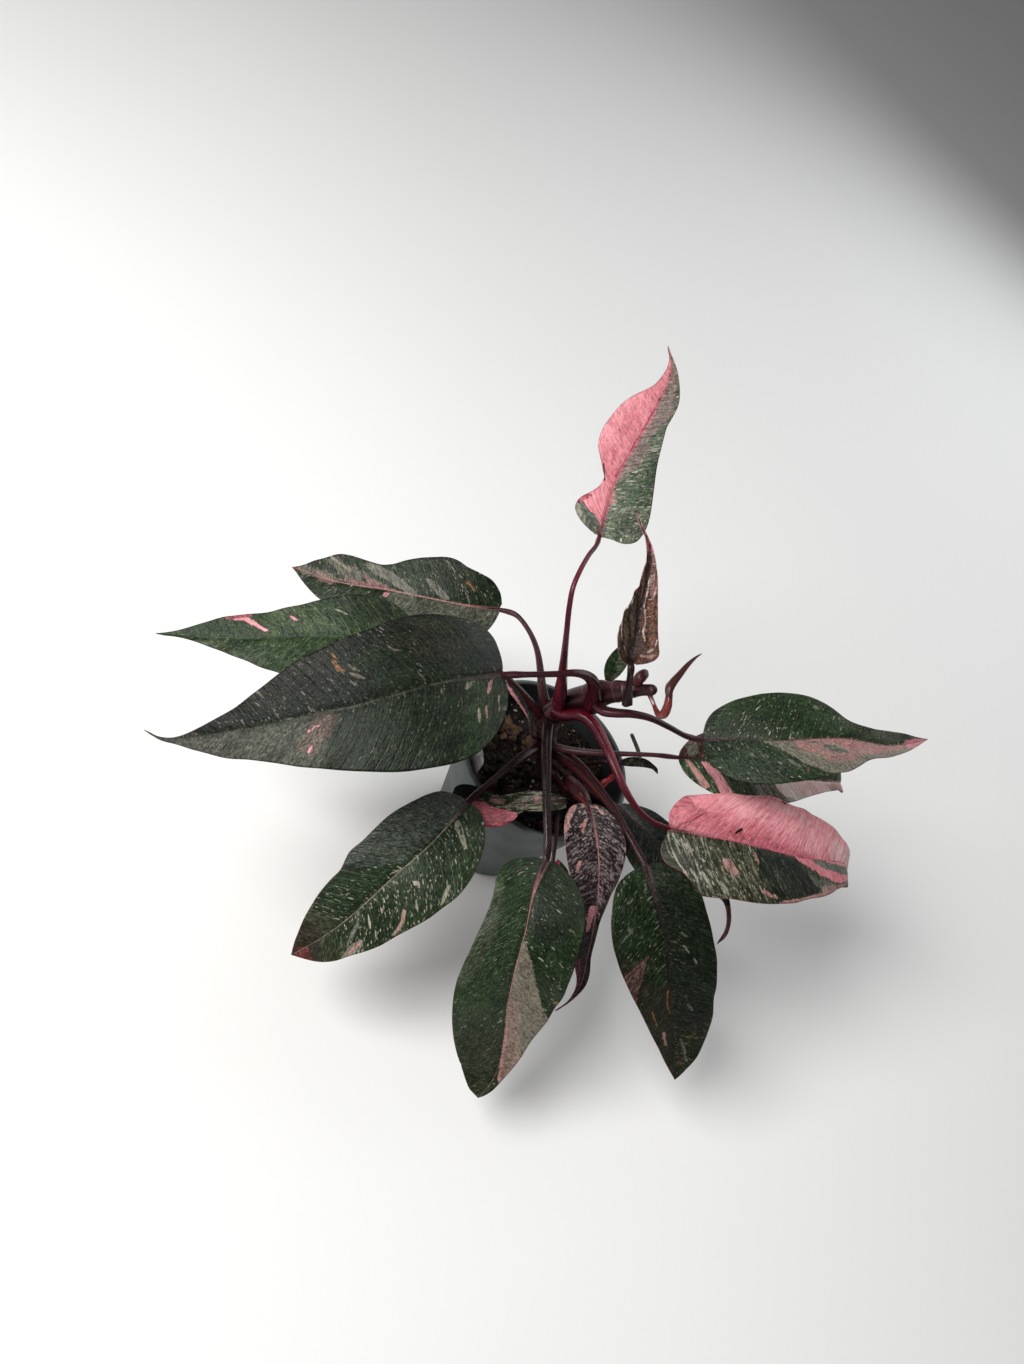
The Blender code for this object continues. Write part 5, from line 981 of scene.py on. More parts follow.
def leaf_material(name, look):
    """Tissue of one leaf.  Attributes on the mesh: vein (place on the midrib
    where the vein leaves it, distance across, both in metres, and side),
    edge (mm to the margin), rib (mm from the midrib), along (0..1), under
    (1 on the lower face), and one signed distance for each patch."""
    g = Nodes(name + "_tissue")
    seed = (sum(ord(c) * (i + 3) for i, c in enumerate(name)) % 97) * 1.37
    a, b, side = g.split(g.attr_vec("vein"))
    edge, rib, along, under = g.attr("edge"), g.attr("rib"), g.attr("along"), g.attr("under")
    if look.get("lengthwise"):
        a, b = b, a
    even = look.get("even", 1.0)

    def grain(fa, fb, detail=2.0, rough=0.5, shift=0.0):
        """Noise drawn out along the veins: fa and fb cells a metre."""
        return g.noise(g.join(g.mul(a, fa), g.mul(b, fb * even), seed + shift), 1.0, detail, rough)

    fine = grain(900, 230, 4, 0.68)
    mid = grain(380, 95, 3, 0.6, 3.1)
    blot = grain(75, 60, 3, 0.55, 7.7)
    cloud = grain(26, 24, 2, 0.5, 11.3)
    grit = grain(1500, 800, 2, 0.6, 15.1)
    mott = grain(640, 330, 3, 0.62, 33.0)

    def tone(key):
        lo, hi = TONES[key]
        f = g.m("MULTIPLY_ADD", fine, 0.62, g.mul(mid, 0.38))
        f = g.m("MULTIPLY_ADD", blot, 0.30, g.mul(f, 0.85))
        return g.mix(g.step(f, 0.45, 0.70), lo, hi)

    lo, hi = TONES[look["ground"]]
    color = tone(look["ground"])
    # broad drift of the ground between its lighter and its darker places
    color = g.mix(g.step(cloud, 0.40, 0.66, 0.0, 0.55), color, tuple(c * 0.62 for c in lo))
    # side veins: faint lighter lines, a few millimetres apart
    warp = g.m("MULTIPLY_ADD", g.noise(g.join(g.mul(a, 70), g.mul(b, 22), seed), 1.0, 2, 0.5), 0.0060, a)
    ph = g.m("FRACT", g.mul(warp, 165.0))
    line = g.step(g.m("ABSOLUTE", g.m("SUBTRACT", ph, 0.5)), 0.40, 0.5)
    color = g.mix(g.mul(g.mul(line, g.step(rib, 2.0, 22.0, 1.0, 0.25)), look.get("veins", 0.16)), color,
                  tuple(min(1, c * 2.6 + 0.02) for c in hi))

    # flecks in two sizes, drawn out along the veins, denser in some places
    share = look["fleck"]
    fleck_lo, fleck_hi = TONES[look["tone"]]
    dens = g.step(g.m("MULTIPLY_ADD", blot, 0.6, g.mul(cloud, 0.4)), 0.36, 0.62, 0.25, 1.0)
    wx = g.m("MULTIPLY_ADD", g.m("SUBTRACT", mid, 0.5), 0.0012, a)
    spots = None
    for fa, fb, part, r in ((1350, 560, 0.62, 0.44), (820, 250, 0.30, 0.42), (470, 115, 0.10, 0.38)):
        cells = g.cells(g.join(g.mul(wx, fa), g.mul(b, fb), seed + fa), 1.0)
        c0, c1, _ = g.split(cells["Color"])
        thr = g.m("MULTIPLY_ADD", dens, -share * part, 1.0)
        on = g.m("GREATER_THAN", c0, thr)
        rad = g.m("MULTIPLY_ADD", c1, 0.18, r - 0.12)
        dot = g.mul(on, g.step(g.m("SUBTRACT", rad, cells["Distance"]), 0.0, 0.07))
        fcol = g.mix(g.mul(c1, c1), tuple(c * 0.45 for c in fleck_lo), fleck_hi)
        if look.get("warm"):
            fcol = g.mix(g.step(along, 0.35, 0.8, 0.0, look["warm"]), fcol, (0.15, 0.082, 0.035))
        color = g.mix(g.mul(dot, 0.90), color, fcol)
        spots = dot if spots is None else g.m("MAXIMUM", spots, dot)
    # streaks: longer, along the veins
    st = grain(560, 58, 4, 0.66, 9.0)
    t0 = 0.70 - 0.21 * look["streak"]
    streak = g.mul(g.step(st, t0, t0 + 0.03), g.step(blot, 0.42 - 0.20 * look["streak"], 0.56))
    streak = g.mul(streak, g.step(grit, 0.34, 0.50, 0.25, 1.0))
    color = g.mix(g.mul(streak, 0.30 + 0.5 * look["streak"]), color, g.mix(g.step(fine, 0.4, 0.6), fleck_lo, fleck_hi))

    # patches of other tissue, their edges stepped along the veins
    jag = g.m("SUBTRACT", grain(700, 120, 3, 0.62, 21.0), 0.5)
    jag2 = g.m("SUBTRACT", grain(260, 70, 2, 0.5, 27.0), 0.5)
    for i, part in enumerate(look["parts"]):
        key, _, ragged = part[:3]
        most = part[4] if len(part) > 4 and not part_is_line(part) else 1.0
        d = g.attr("p%02d" % i)
        d = g.m("MULTIPLY_ADD", jag, 3.8 * min(ragged, 1.6), d)
        d = g.m("MULTIPLY_ADD", jag2, 3.4 * min(ragged, 1.6), d)
        if ragged < 2.6:
            soft = 0.30
        else:
            soft = ragged * 1.1
            d = g.m("MULTIPLY_ADD", g.m("SUBTRACT", blot, 0.5), ragged * 4.0, d)
        mask = g.step(d, -soft, soft, 0.0, most)
        if most < 1.0:
            mask = g.mul(mask, g.step(fine, 0.36, 0.52, 0.45, 1.0))
        color = g.mix(mask, color, tone(key))

    # darker net of veins in pale tissue
    lum = g.new("ShaderNodeRGBToBW")
    g.put(lum.inputs[0], color)
    net = g.m("FRACT", g.mul(warp, 430.0))
    net = g.step(g.m("ABSOLUTE", g.m("SUBTRACT", net, 0.5)), 0.30, 0.5)
    net = g.mul(g.mul(net, g.step(mid, 0.40, 0.60, 0.25, 1.0)), g.step(lum.outputs[0], 0.12, 0.30))
    color = g.mix(g.mul(net, 0.40), color, g.mix(1.0, color, (0.74, 0.44, 0.50), "MULTIPLY"))
    # grain of the surface over everything, then the leaf's scale over the whole leaf: partly its own darker tone,
    # partly painted shade (painted light where it is over 1)
    k = g.mul(g.m("MULTIPLY_ADD", g.step(grit, 0.38, 0.64), 0.70, 0.66), g.m("MULTIPLY_ADD", g.step(mott, 0.38, 0.64), 0.95, 0.58))
    k = g.mixf(g.step(lum.outputs[0], 0.03, 0.34, 0.0, look.get("calm", 0.70)), k, 1.0)
    k = g.mul(k, look.get("shade", 1.0))
    color = g.mix(1.0, color, g.join(k, k, k), "MULTIPLY")

    # midrib, wider towards the stalk, and the thin margin
    rb = look.get("rib_base", 1.6)
    wide = g.m("MULTIPLY_ADD", g.step(along, 0.0, 0.25), -rb * 0.6, rb * 0.6 + look["rib_w"] * 0.5)
    wide = g.mul(wide, g.step(along, 0.55, 1.0, 1.0, 0.35))
    wob = g.m("MULTIPLY_ADD", g.m("SUBTRACT", mid, 0.5), 0.5, rib)
    rmask = g.step(g.m("DIVIDE", wob, wide), 0.60, 1.10, 1.0, 0.0)
    rl, rh = TONES[look["rib"]]
    rcol = g.mix(g.step(g.noise(g.join(g.mul(rib, 2.4), g.mul(along, 40.0), seed), 1.0, 2, 0.5), 0.40, 0.60), rl, rh)
    stalk = g.mix(g.step(fine, 0.4, 0.6), (0.018, 0.008, 0.010), (0.080, 0.045, 0.045))
    rcol = g.mix(g.step(along, 0.02, 0.22, 0.85, 0.0), rcol, stalk)
    color = g.mix(g.mul(rmask, 0.85), color, rcol)
    # painted shade along both sides of the midrib, in its groove
    crease_shade = g.mul(g.step(g.m("ABSOLUTE", g.m("SUBTRACT", g.m("DIVIDE", wob, wide), 1.35)), 0.0, 0.40, 0.42, 0.0),
                   g.step(along, 0.0, 0.8, 1.0, 0.3))
    color = g.mix(crease_shade, color, (0.006, 0.006, 0.006))
    ml, mh = TONES[look["rim"]]
    color = g.mix(g.step(g.m("MULTIPLY_ADD", mid, 0.35, edge), 0.25, 0.60, 0.85, 0.0), color,
                  g.mix(g.step(fine, 0.4, 0.6), ml, mh))

    # lower face: duller, with a maroon cast over the green
    lum = g.new("ShaderNodeRGBToBW")
    g.put(lum.inputs[0], color)
    cast = g.mix(g.step(lum.outputs[0], 0.02, 0.30), (0.045, 0.012, 0.015), (0.42, 0.16, 0.16))
    ucol = g.mix(0.55, g.mix(0.35, color, (0.036, 0.048, 0.030)), cast)
    color = g.mix(under, color, ucol)

    # relief: pressed-in veins, fine striations, and dull, slightly rough skin
    h = g.m("MULTIPLY_ADD", line, -0.55, g.mul(fine, 0.9))
    h = g.m("MULTIPLY_ADD", mid, 1.3, h)
    h = g.m("MULTIPLY_ADD", mott, 0.9, h)
    skin = g.noise(g.coords(), 1500.0, 3, 0.65)
    h = g.m("MULTIPLY_ADD", skin, 0.45, h)
    normal = g.bump(h, 0.60, look.get("relief", 0.00050))
    base = look.get("gloss", 0.35)
    rough = g.m("MULTIPLY_ADD", mid, 0.22, base - 0.11)
    rough = g.m("MULTIPLY_ADD", spots, 0.08, rough)
    rough = g.mixf(under, rough, 0.62)
    return g.finish(color, rough, normal, spec=look.get("spec", 0.17))


def part_is_line(part):
    """A patch given as a line: few points and a width over 1 or an open run."""
    pts = part[3]
    if len(part) < 5:
        return False
    if len(pts) < 4:
        return True
    w = np.linalg.norm(np.array(pts[0], float) - pts[-1])
    run = np.linalg.norm(np.diff(np.array(pts, float), axis=0), axis=1).sum()
    return w > 0.80 * run


def build_blade(name):
    d, look = LEAVES[name], LOOKS[name]
    blade = Blade(d["mid"], d["roll"], d["fold"], d["curl"], d.get("up", (0, 0, 1)), d.get("place", at_z),
                  d.get("tail", ()))
    big = blade.length > 0.075
    rows, half = (150, 26) if big else (70, 12)
    named = {key: blade.margin(d[key], rows, d.get(key + "_tail", ()), d.get("s_max", 1.0)) for key in "ab"}
    a_first = named["a"][rows // 2, 1] < named["b"][rows // 2, 1]
    both = []
    for key in ("ab" if a_first else "ba"):
        m = named[key].copy()
        s_edge, q_edge = m[:, 0], m[:, 1]
        s_mid = s_edge - 0.65 * abs(q_edge) / blade.length
        s_mid = np.maximum(s_mid, 0.010 * np.arange(rows + 1) * 10 / rows)
        s_mid = np.clip(np.maximum.accumulate(s_mid), 0, 1)
        s_mid[0], s_mid[-1] = 0.0, 1.0
        both.append((s_mid, s_edge, q_edge))
    s_mid = (both[0][0] + both[1][0]) / 2
    kern = np.hanning(9); kern /= kern.sum()
    s_mid = np.convolve(np.r_[[s_mid[0]] * 4, s_mid, [s_mid[-1]] * 4], kern, "valid")
    s_mid = s_mid - s_mid[0]
    s_mid /= s_mid[-1]
    # a point never quite closes, so that the last row keeps its faces
    cols = np.arange(-half, half + 1)
    v = np.abs(cols) / half
    v = v ** 0.92
    s = np.zeros((rows + 1, len(cols)))
    q = np.zeros_like(s)
    for j, c in enumerate(cols):
        _, s_edge, q_edge = both[0] if c < 0 else both[1]
        sign = -1.0 if c < 0 else 1.0
        qe = sign * np.maximum(abs(q_edge), 0.00012)
        s[:, j] = s_mid + (s_edge - s_mid) * v[j] ** 1.25
        q[:, j] = qe * v[j]
    P = blade.points(s, q)
    px = picture(P)
    N = blade.mix(blade.n, np.clip(s, 0, 1).ravel()).reshape(P.shape)
    # true surface normals
    du, dv = np.gradient(P, axis=0), np.gradient(P, axis=1)
    n2 = units(np.cross(du, dv))
    n2 *= np.sign((n2 * N).sum(-1, keepdims=True) + 1e-9)
    bad = np.linalg.norm(np.cross(du, dv), axis=-1) < 1e-10
    n2[bad] = N[bad]
    N = n2
    L = blade.length
    A = np.repeat((s_mid * L)[:, None], len(cols), 1)
    seed = sum(ord(c) for c in name)
    rng = np.random.RandomState(seed)
    side = np.sign(cols)[None, :] * np.ones_like(q)
    V = np.repeat(v[None, :], rows + 1, 0)
    aq = np.abs(q)
    # gentle waves towards the margin, and the swell between side veins
    ph = rng.rand(4) * 6.28
    size = min(1.0, L / 0.15)
    wave = (np.sin(A / 0.034 * 6.28 + ph[0] + side * ph[1]) * 0.6 + np.sin(A / 0.021 * 6.28 + ph[2] - side * ph[3]) * 0.3)
    env = np.sin(np.pi * np.clip(s_mid, 0, 1)) ** 0.6
    H = wave * 0.0009 * size * V ** 2.2 * env[:, None]
    drift = np.cumsum(rng.randn(rows + 1)) * 0.10
    veins = np.cos(A / 0.0092 * 6.28 + drift[:, None] + side * 0.9) * 0.00006
    veins = veins + np.cos(A / 0.0053 * 6.28 - drift[:, None] * 1.7 + side * 2.1) * 0.00003
    H += veins * (4 * V * (1 - V)) ** 0.7 * env[:, None] * size
    if look.get("crinkle"):
        for k, (fa, fb) in enumerate(((310, 240), (620, 150), (190, 560), (900, 420))):
            H += look["crinkle"] / (k + 1) * np.sin(A * fa + q * fb * 3 + ph[k]) * np.sin(q * fb * 2.2 - A * fa * 0.3 + k) * \
                np.clip(aq / 0.0015, 0, 1) * env[:, None]
    H += -0.00075 * size * np.exp(-(aq / 0.0017) ** 2) * (1 - 0.7 * np.clip(A / L, 0, 1))
    T = 0.00042 - 0.00022 * V ** 6
    T = T + (0.0017 * (1 - 0.85 * np.clip(A / L, 0, 1) ** 0.8) * np.exp(-(aq / 0.0012) ** 2)) * size
    top = P + N * H[..., None]
    low = P + N * (H - T)[..., None]
    nr, nc = P.shape[:2]
    verts = np.vstack([top.reshape(-1, 3), low.reshape(-1, 3)])
    k = nr * nc
    faces = []
    for i in range(nr - 1):
        for j in range(nc - 1):
            p = i * nc + j
            faces.append((p, p + 1, p + nc + 1, p + nc))
            faces.append((k + p, k + p + nc, k + p + nc + 1, k + p + 1))
    for i in range(nr - 1):
        p, r = i * nc, i * nc + nc - 1
        faces.append((p, p + nc, k + p + nc, k + p))
        faces.append((r, k + r, k + r + nc, r + nc))
    for j in range(nc - 1):
        p, r = j, (nr - 1) * nc + j
        faces.append((p, k + p, k + p + 1, p + 1))
        faces.append((r, r + 1, k + r + 1, k + r))
    # distance to the margin, in mm
    rim = np.stack([P[:, 0], P[:, -1]], 0)
    E = np.where(side < 0, np.linalg.norm(P - P[:, :1], axis=-1), np.linalg.norm(P - P[:, -1:], axis=-1)) * 1000 * 0.8
    E[:, half] = np.minimum(E[:, half - 1], E[:, half + 1])
    flat = lambda x: np.concatenate([x.ravel(), x.ravel()])
    attrs = {
        "vein": np.stack([flat(A), flat(q), flat(side)], -1),
        "edge": flat(E), "rib": flat(aq * 1000), "along": flat(A / L),
        "under": np.concatenate([np.zeros(k), np.ones(k)]),
    }
    flat_px = px.reshape(-1, 2)
    a_sign = -1.0 if a_first else 1.0
    for i, part in enumerate(look["parts"]):
        if part_is_line(part):
            sd = along_line(flat_px, part[3], part[4])
        else:
            sd = inside_of(flat_px, part[3])
        if part[1] in ("a", "b"):
            sg = a_sign if part[1] == "a" else -a_sign
            sd = np.minimum(sd, (q.ravel() * sg) * 1550.0 + 0.35)
        sd = np.clip(sd, -40, 40)
        attrs["p%02d" % i] = np.concatenate([sd, sd])
    mat = leaf_material(name, look)
    ob = mesh_piece(name + "_lamina", verts, faces, mat, attrs)
    outward(ob)
    return ob, blade


# ------------------------------------------------------------------
# stem, stalks, sheath
# ------------------------------------------------------------------
def sweep(path, radii, up, section, caps=True):
    """Closed tube: section(turn, k) gives the radius factor round the turn."""
    path = np.asarray(path, float)
    n = len(path)
    t = units(np.gradient(path, axis=0))
    side = [unit(np.cross(t[0], up))]
    for i in range(1, n):
        side.append(unit(side[-1] - t[i] * (side[-1] @ t[i])))
    side = np.array(side)
    top = np.cross(side, t)
    m = 28
    turn = np.arange(m) / m * 2 * math.pi
    run = np.r_[0, np.cumsum(np.linalg.norm(np.diff(path, axis=0), axis=1))]
    f = np.stack([section(turn, k) for k in run / run[-1]])
    R = np.asarray(radii)[:, None] * f
    V = path[:, None] + side[:, None] * (np.sin(turn) * R)[..., None] + top[:, None] * (np.cos(turn) * R)[..., None]
    verts = [*V.reshape(-1, 3), path[0], path[-1]]
    faces = []
    for i in range(n - 1):
        for j in range(m):
            k = (j + 1) % m
            faces.append((i * m + j, i * m + k, i * m + m + k, i * m + m + j))
    for j in range(m):
        k = (j + 1) % m
        faces.append((n * m, k, j))
        faces.append((n * m + 1, (n - 1) * m + j, (n - 1) * m + k))
    # the turn is kept as a direction, so that it has no seam
    around = np.stack([np.tile(np.cos(turn), n), np.tile(np.sin(turn), n), np.repeat(run, m)], -1)
    around = np.vstack([around, [[0, 0, run[0]], [0, 0, run[-1]]]])
    along = np.r_[np.repeat(run / run[-1], m), 0, 1]
    return np.array(verts), faces, {"around": around, "along": along}


# the stalks as seen, thick and clasping at the foot: column, row, cm, radius in
# mm.  Those not listed follow the solids' routes.
RUNS = {
    "leaf_01": [(560, 706, 4.6, 4.8), (560, 699, 5.4, 4.7), (561, 690, 6.5, 4.2), (562.5, 676, 8.0, 3.1),
                (564.5, 655, 10.2, 2.2), (567, 630, 12.2, 1.7), (569.5, 607, 13.4, 1.6), (573, 588, 14.2, 1.5),
                (580, 571, 14.6, 1.45), (589, 555, 14.6, 1.4), (596, 546, 14.4, 1.35)],
    "leaf_02": [(627, 704, 8.6, 3.3), (627.5, 698, 9.0, 2.9), (628.5, 688, 9.9, 2.0), (630, 677, 10.9, 1.8),
                (631, 668, 11.7, 1.7)],
    "leaf_03": [(596, 704, 6.8, 3.6), (604, 711, 7.4, 3.2), (616, 713, 7.8, 2.8), (632, 714, 8.2, 2.4),
                (650, 718, 8.4, 2.1), (668, 726.5, 8.4, 1.8), (686, 736, 8.3, 1.6)],
    "leaf_04": [(548, 742, 1.4, 2.8), (556, 747, 2.2, 2.6), (575, 751, 2.9, 2.4), (600, 753, 3.7, 2.0),
                (630, 754, 4.6, 1.6), (655, 755, 5.2, 1.4)],
    "leaf_05": [(556, 712, 3.9, 4.2), (565, 715, 4.7, 4.0), (580, 715, 5.6, 3.6), (593, 724, 5.9, 3.5),
                (604, 743, 6.1, 3.2), (613, 763, 6.2, 2.7), (625, 790, 6.0, 2.2), (639, 811, 5.6, 1.8),
                (654, 823, 5.2, 1.6)],
    "leaf_06": [(548, 761, -0.4, 2.2), (558, 768, 0.1, 2.0), (578, 784, 0.6, 1.9), (600, 798, 1.4, 1.6),
                (612, 804, 1.9, 1.4)],
    "leaf_07": [(550, 750, 0.9, 4.4), (560, 755, 1.5, 4.4), (577, 767, 2.3, 4.3), (592, 783, 2.9, 3.7),
                (604, 797, 3.4, 2.9), (614, 810, 3.8, 2.2), (630, 837, 4.3, 1.8)],
    "leaf_08": [(548, 770, -1.0, 2.4), (555, 778, -0.4, 2.2), (563, 786, 0.6, 2.1), (573, 792, 1.6, 1.9),
                (582, 799, 2.2, 1.7)],
    "leaf_09": [(549, 716, 2.9, 3.6), (547, 728, 3.2, 3.5), (546, 745, 3.5, 3.3), (546, 765, 3.45, 3.1),
                (546.5, 790, 3.25, 2.7), (547, 815, 3.0, 2.4), (547.5, 843, 2.6, 2.1)],
    "leaf_10": [(540, 744, 1.0, 3.3), (531, 751, 1.7, 3.1), (519, 759, 2.05, 2.7), (503, 772, 2.3, 2.2),
                (485, 787, 2.3, 1.8)],
    "leaf_11": [(592, 706, 6.0, 5.8), (593.5, 698, 7.0, 5.4), (594.5, 689, 8.0, 4.7), (592.5, 681, 8.9, 3.8),
                (585, 675, 9.5, 2.7), (573, 673, 9.8, 2.1), (558, 674, 9.6, 1.8), (532, 674.5, 9.1, 1.7)],
    "leaf_12": [(549, 722, 1.8, 3.4), (541, 715, 2.8, 3.0), (526, 697, 4.0, 2.2), (512, 682, 4.9, 1.8),
                (495, 668, 5.4, 1.6), (474, 652, 5.6, 1.5)],
    "leaf_13": [(547, 712, 2.8, 4.0), (544, 700, 3.5, 3.4), (542, 688, 4.0, 2.9), (540.5, 672, 4.5, 2.3),
                (537, 650, 5.2, 1.8), (529, 631, 5.6, 1.6), (516, 615, 5.6, 1.5)],
}

# tone: dark flank, bright flank, upper groove (specks are a paler copy of the bright flank)
STALK_TONES = {
    "leaf_01": ((0.026, 0.005, 0.008), (0.170, 0.014, 0.030), (0.050, 0.008, 0.012)),
    "leaf_02": ((0.008, 0.004, 0.005), (0.040, 0.014, 0.014), (0.014, 0.006, 0.008)),
    "leaf_03": ((0.008, 0.003, 0.005), (0.070, 0.014, 0.020), (0.022, 0.007, 0.009)),
    "leaf_04": ((0.012, 0.004, 0.006), (0.100, 0.022, 0.028), (0.030, 0.012, 0.012)),
    "leaf_05": ((0.024, 0.002, 0.006), (0.330, 0.008, 0.030), (0.060, 0.004, 0.010)),
    "leaf_06": ((0.012, 0.004, 0.005), (0.080, 0.016, 0.020), (0.030, 0.009, 0.010)),
    "leaf_07": ((0.008, 0.003, 0.003), (0.066, 0.010, 0.012), (0.015, 0.004, 0.005)),
    "leaf_08": ((0.018, 0.004, 0.005), (0.115, 0.020, 0.020), (0.048, 0.010, 0.011)),
    "leaf_09": ((0.006, 0.003, 0.003), (0.034, 0.012, 0.012), (0.012, 0.006, 0.006)),
    "leaf_10": ((0.010, 0.003, 0.004), (0.085, 0.015, 0.018), (0.024, 0.006, 0.007)),
    "leaf_11": ((0.008, 0.003, 0.004), (0.082, 0.008, 0.014), (0.020, 0.007, 0.009)),
    "leaf_12": ((0.012, 0.003, 0.005), (0.090, 0.013, 0.018), (0.024, 0.007, 0.008)),
    "leaf_13": ((0.010, 0.004, 0.006), (0.072, 0.016, 0.020), (0.026, 0.010, 0.010)),
    "leaf_14": ((0.014, 0.006, 0.005), (0.080, 0.026, 0.022), (0.030, 0.012, 0.010)),
    "leaf_15": ((0.016, 0.004, 0.006), (0.100, 0.020, 0.024), (0.034, 0.009, 0.010)),
    "leaf_16": ((0.012, 0.005, 0.005), (0.075, 0.024, 0.020), (0.028, 0.011, 0.010)),
    "leaf_17": ((0.012, 0.004, 0.006), (0.090, 0.018, 0.022), (0.030, 0.009, 0.010)),
    "leaf_18": ((0.012, 0.005, 0.005), (0.075, 0.024, 0.020), (0.028, 0.010, 0.010)),
}


def stalk_material(name, tones, gloss=0.25, spec=0.26, flank=0.0):
    g = Nodes(name + "_skin")
    dark, bright, groove = tones
    seed = (sum(ord(c) * (i + 2) for i, c in enumerate(name)) % 89) * 1.13
    c, s, run = g.split(g.attr_vec("around"))
    lines = g.noise(g.join(g.mul(c, 9.0), g.mul(s, 9.0), g.m("MULTIPLY_ADD", run, 28.0, seed)), 1.0, 3, 0.6)
    broad = g.noise(g.join(g.mul(c, 1.3), g.mul(s, 1.3), g.m("MULTIPLY_ADD", run, 26.0, seed + 4)), 1.0, 2, 0.5)
    speck = g.noise(g.join(g.mul(c, 10.0), g.mul(s, 10.0), g.m("MULTIPLY_ADD", run, 420.0, seed + 8)), 1.0, 2, 0.6)
    color = g.mix(g.step(g.m("MULTIPLY_ADD", lines, 0.55, g.mul(broad, 0.5)), 0.36, 0.72), dark, bright)
    # painted shade: one flank of the stalk darkened to its dark tone, with less groove tint there
    if flank:
        color = g.mix(g.step(g.mul(s, flank), -0.25, 0.45, 0.80, 0.0), color, dark)
    color = g.mix(g.step(c, 0.45, 0.95, 0.0, 0.7 if not flank else 0.35), color, groove)
    pale = tuple(min(1.0, v * 2.2 + 0.03) for v in bright)
    color = g.mix(g.mul(g.step(speck, 0.64, 0.72), 0.5), color, pale)
    color = g.mix(g.mul(g.step(lines, 0.62, 0.72), 0.30), color, pale)
    h = g.m("MULTIPLY_ADD", lines, 0.8, g.mul(speck, 0.25))
    k = g.m("MULTIPLY_ADD", g.step(g.noise(g.coords(), 1100.0, 2, 0.6), 0.36, 0.64), 0.60, 0.66)
    color = g.mix(1.0, color, g.join(k, k, k), "MULTIPLY")
    normal = g.bump(h, 0.55, 0.0004)
    rough = g.m("MULTIPLY_ADD", broad, 0.16, gloss - 0.08)
    return g.finish(color, rough, normal, spec=spec)


def build_stalk(name, blade, stem_pts):
    node, pts, r0, r1 = STALKS[name]
    if name in RUNS:
        pts = RUNS[name]
        world = [at_z(*p[:3]) for p in pts]
        radii = [p[3] * 0.001 for p in pts]
    else:
        world = [at_z(*p) for p in pts]
        k = np.linspace(0.12, 1, len(pts)) ** 0.7
        radii = list((r0 + (r1 - r0) * k) * 0.001)
        if node is not None:
            c, t, f = stem_place(stem_pts, *node)
            out = world[0] - c
            out = unit(out - t * (out @ t))
            world = [c + out * 0.001, c + out * stem_radius(f)] + world
            radii = [r0 * 0.00115] * 2 + radii
    L = blade.length
    under = lambda mm, drop: blade.mix(blade.mid, np.array([mm * 0.001 / L]))[0] - \
        blade.mix(blade.n, np.array([mm * 0.001 / L]))[0] * drop
    big = L > 0.075
    r1 = radii[-1]
    more = [under(0.0, r1 * 0.75 + 0.0004)]
    more += [under(4.0, r1 * 0.62 + 0.0005), under(9.0, 0.0012), under(14.0, 0.0010)] if big else [under(3.0, 0.0007)]
    ctrl = np.array(world + more)
    radii = np.array(radii + [r1] * len(more))
    total = np.linalg.norm(np.diff(ctrl, axis=0), axis=1).sum()
    n = max(24, int(total / 0.0011))
    line = smooth(ctrl, n)
    run = np.r_[0, np.cumsum(np.linalg.norm(np.diff(line, axis=0), axis=1))]
    near = [int(np.argmin(((line - c) ** 2).sum(1))) for c in ctrl]
    R = np.interp(run, run[np.maximum.accumulate(near)], radii)
    kern = np.hanning(15); kern /= kern.sum()
    R = np.convolve(np.r_[[R[0]] * 7, R, [R[-1]] * 7], kern, "valid")
    back = run[-1] - run
    tail = 0.016 if big else 0.004
    # flared foot that clasps the stem, swollen joint under the blade
    R *= 1 + (0.0 if name in RUNS else 0.25) * np.exp(-(run / 0.0065) ** 2)
    if big:
        R *= 1 + 0.22 * np.exp(-((back - tail - 0.006) / 0.005) ** 2)
    R *= np.clip(back / tail, 0.0, 1.0) ** 0.75 * 0.93 + 0.07
    rng = np.random.RandomState(sum(ord(ch) for ch in name))
    w = np.convolve(rng.randn(len(R) + 24), np.hanning(25) / 12, "valid")[:len(R)]
    R = R * (1 + 0.020 * w)
    deep = {"leaf_07": 0.42, "leaf_09": 0.30, "leaf_03": 0.26}.get(name, 0.20)

    def section(a, k):
        d = np.abs((a + math.pi) % (2 * math.pi) - math.pi)
        g = deep * (1 - k) ** 0.5
        return 1.0 - g * np.exp(-(d / 0.52) ** 2) + 0.32 * g * np.exp(-((d - 0.95) / 0.30) ** 2)

    up = blade.n[0] if node is None else unit(blade.n[0] + np.array([0, 0, 1.0]))
    verts, faces, attrs = sweep(line, R, up, section)
    mat = stalk_material(name + "_stalk", STALK_TONES[name], flank={"leaf_05": -1.0}.get(name, 0.0))
    ob = mesh_piece(name + "_petiole", verts, faces, mat, attrs)
    return outward(ob)


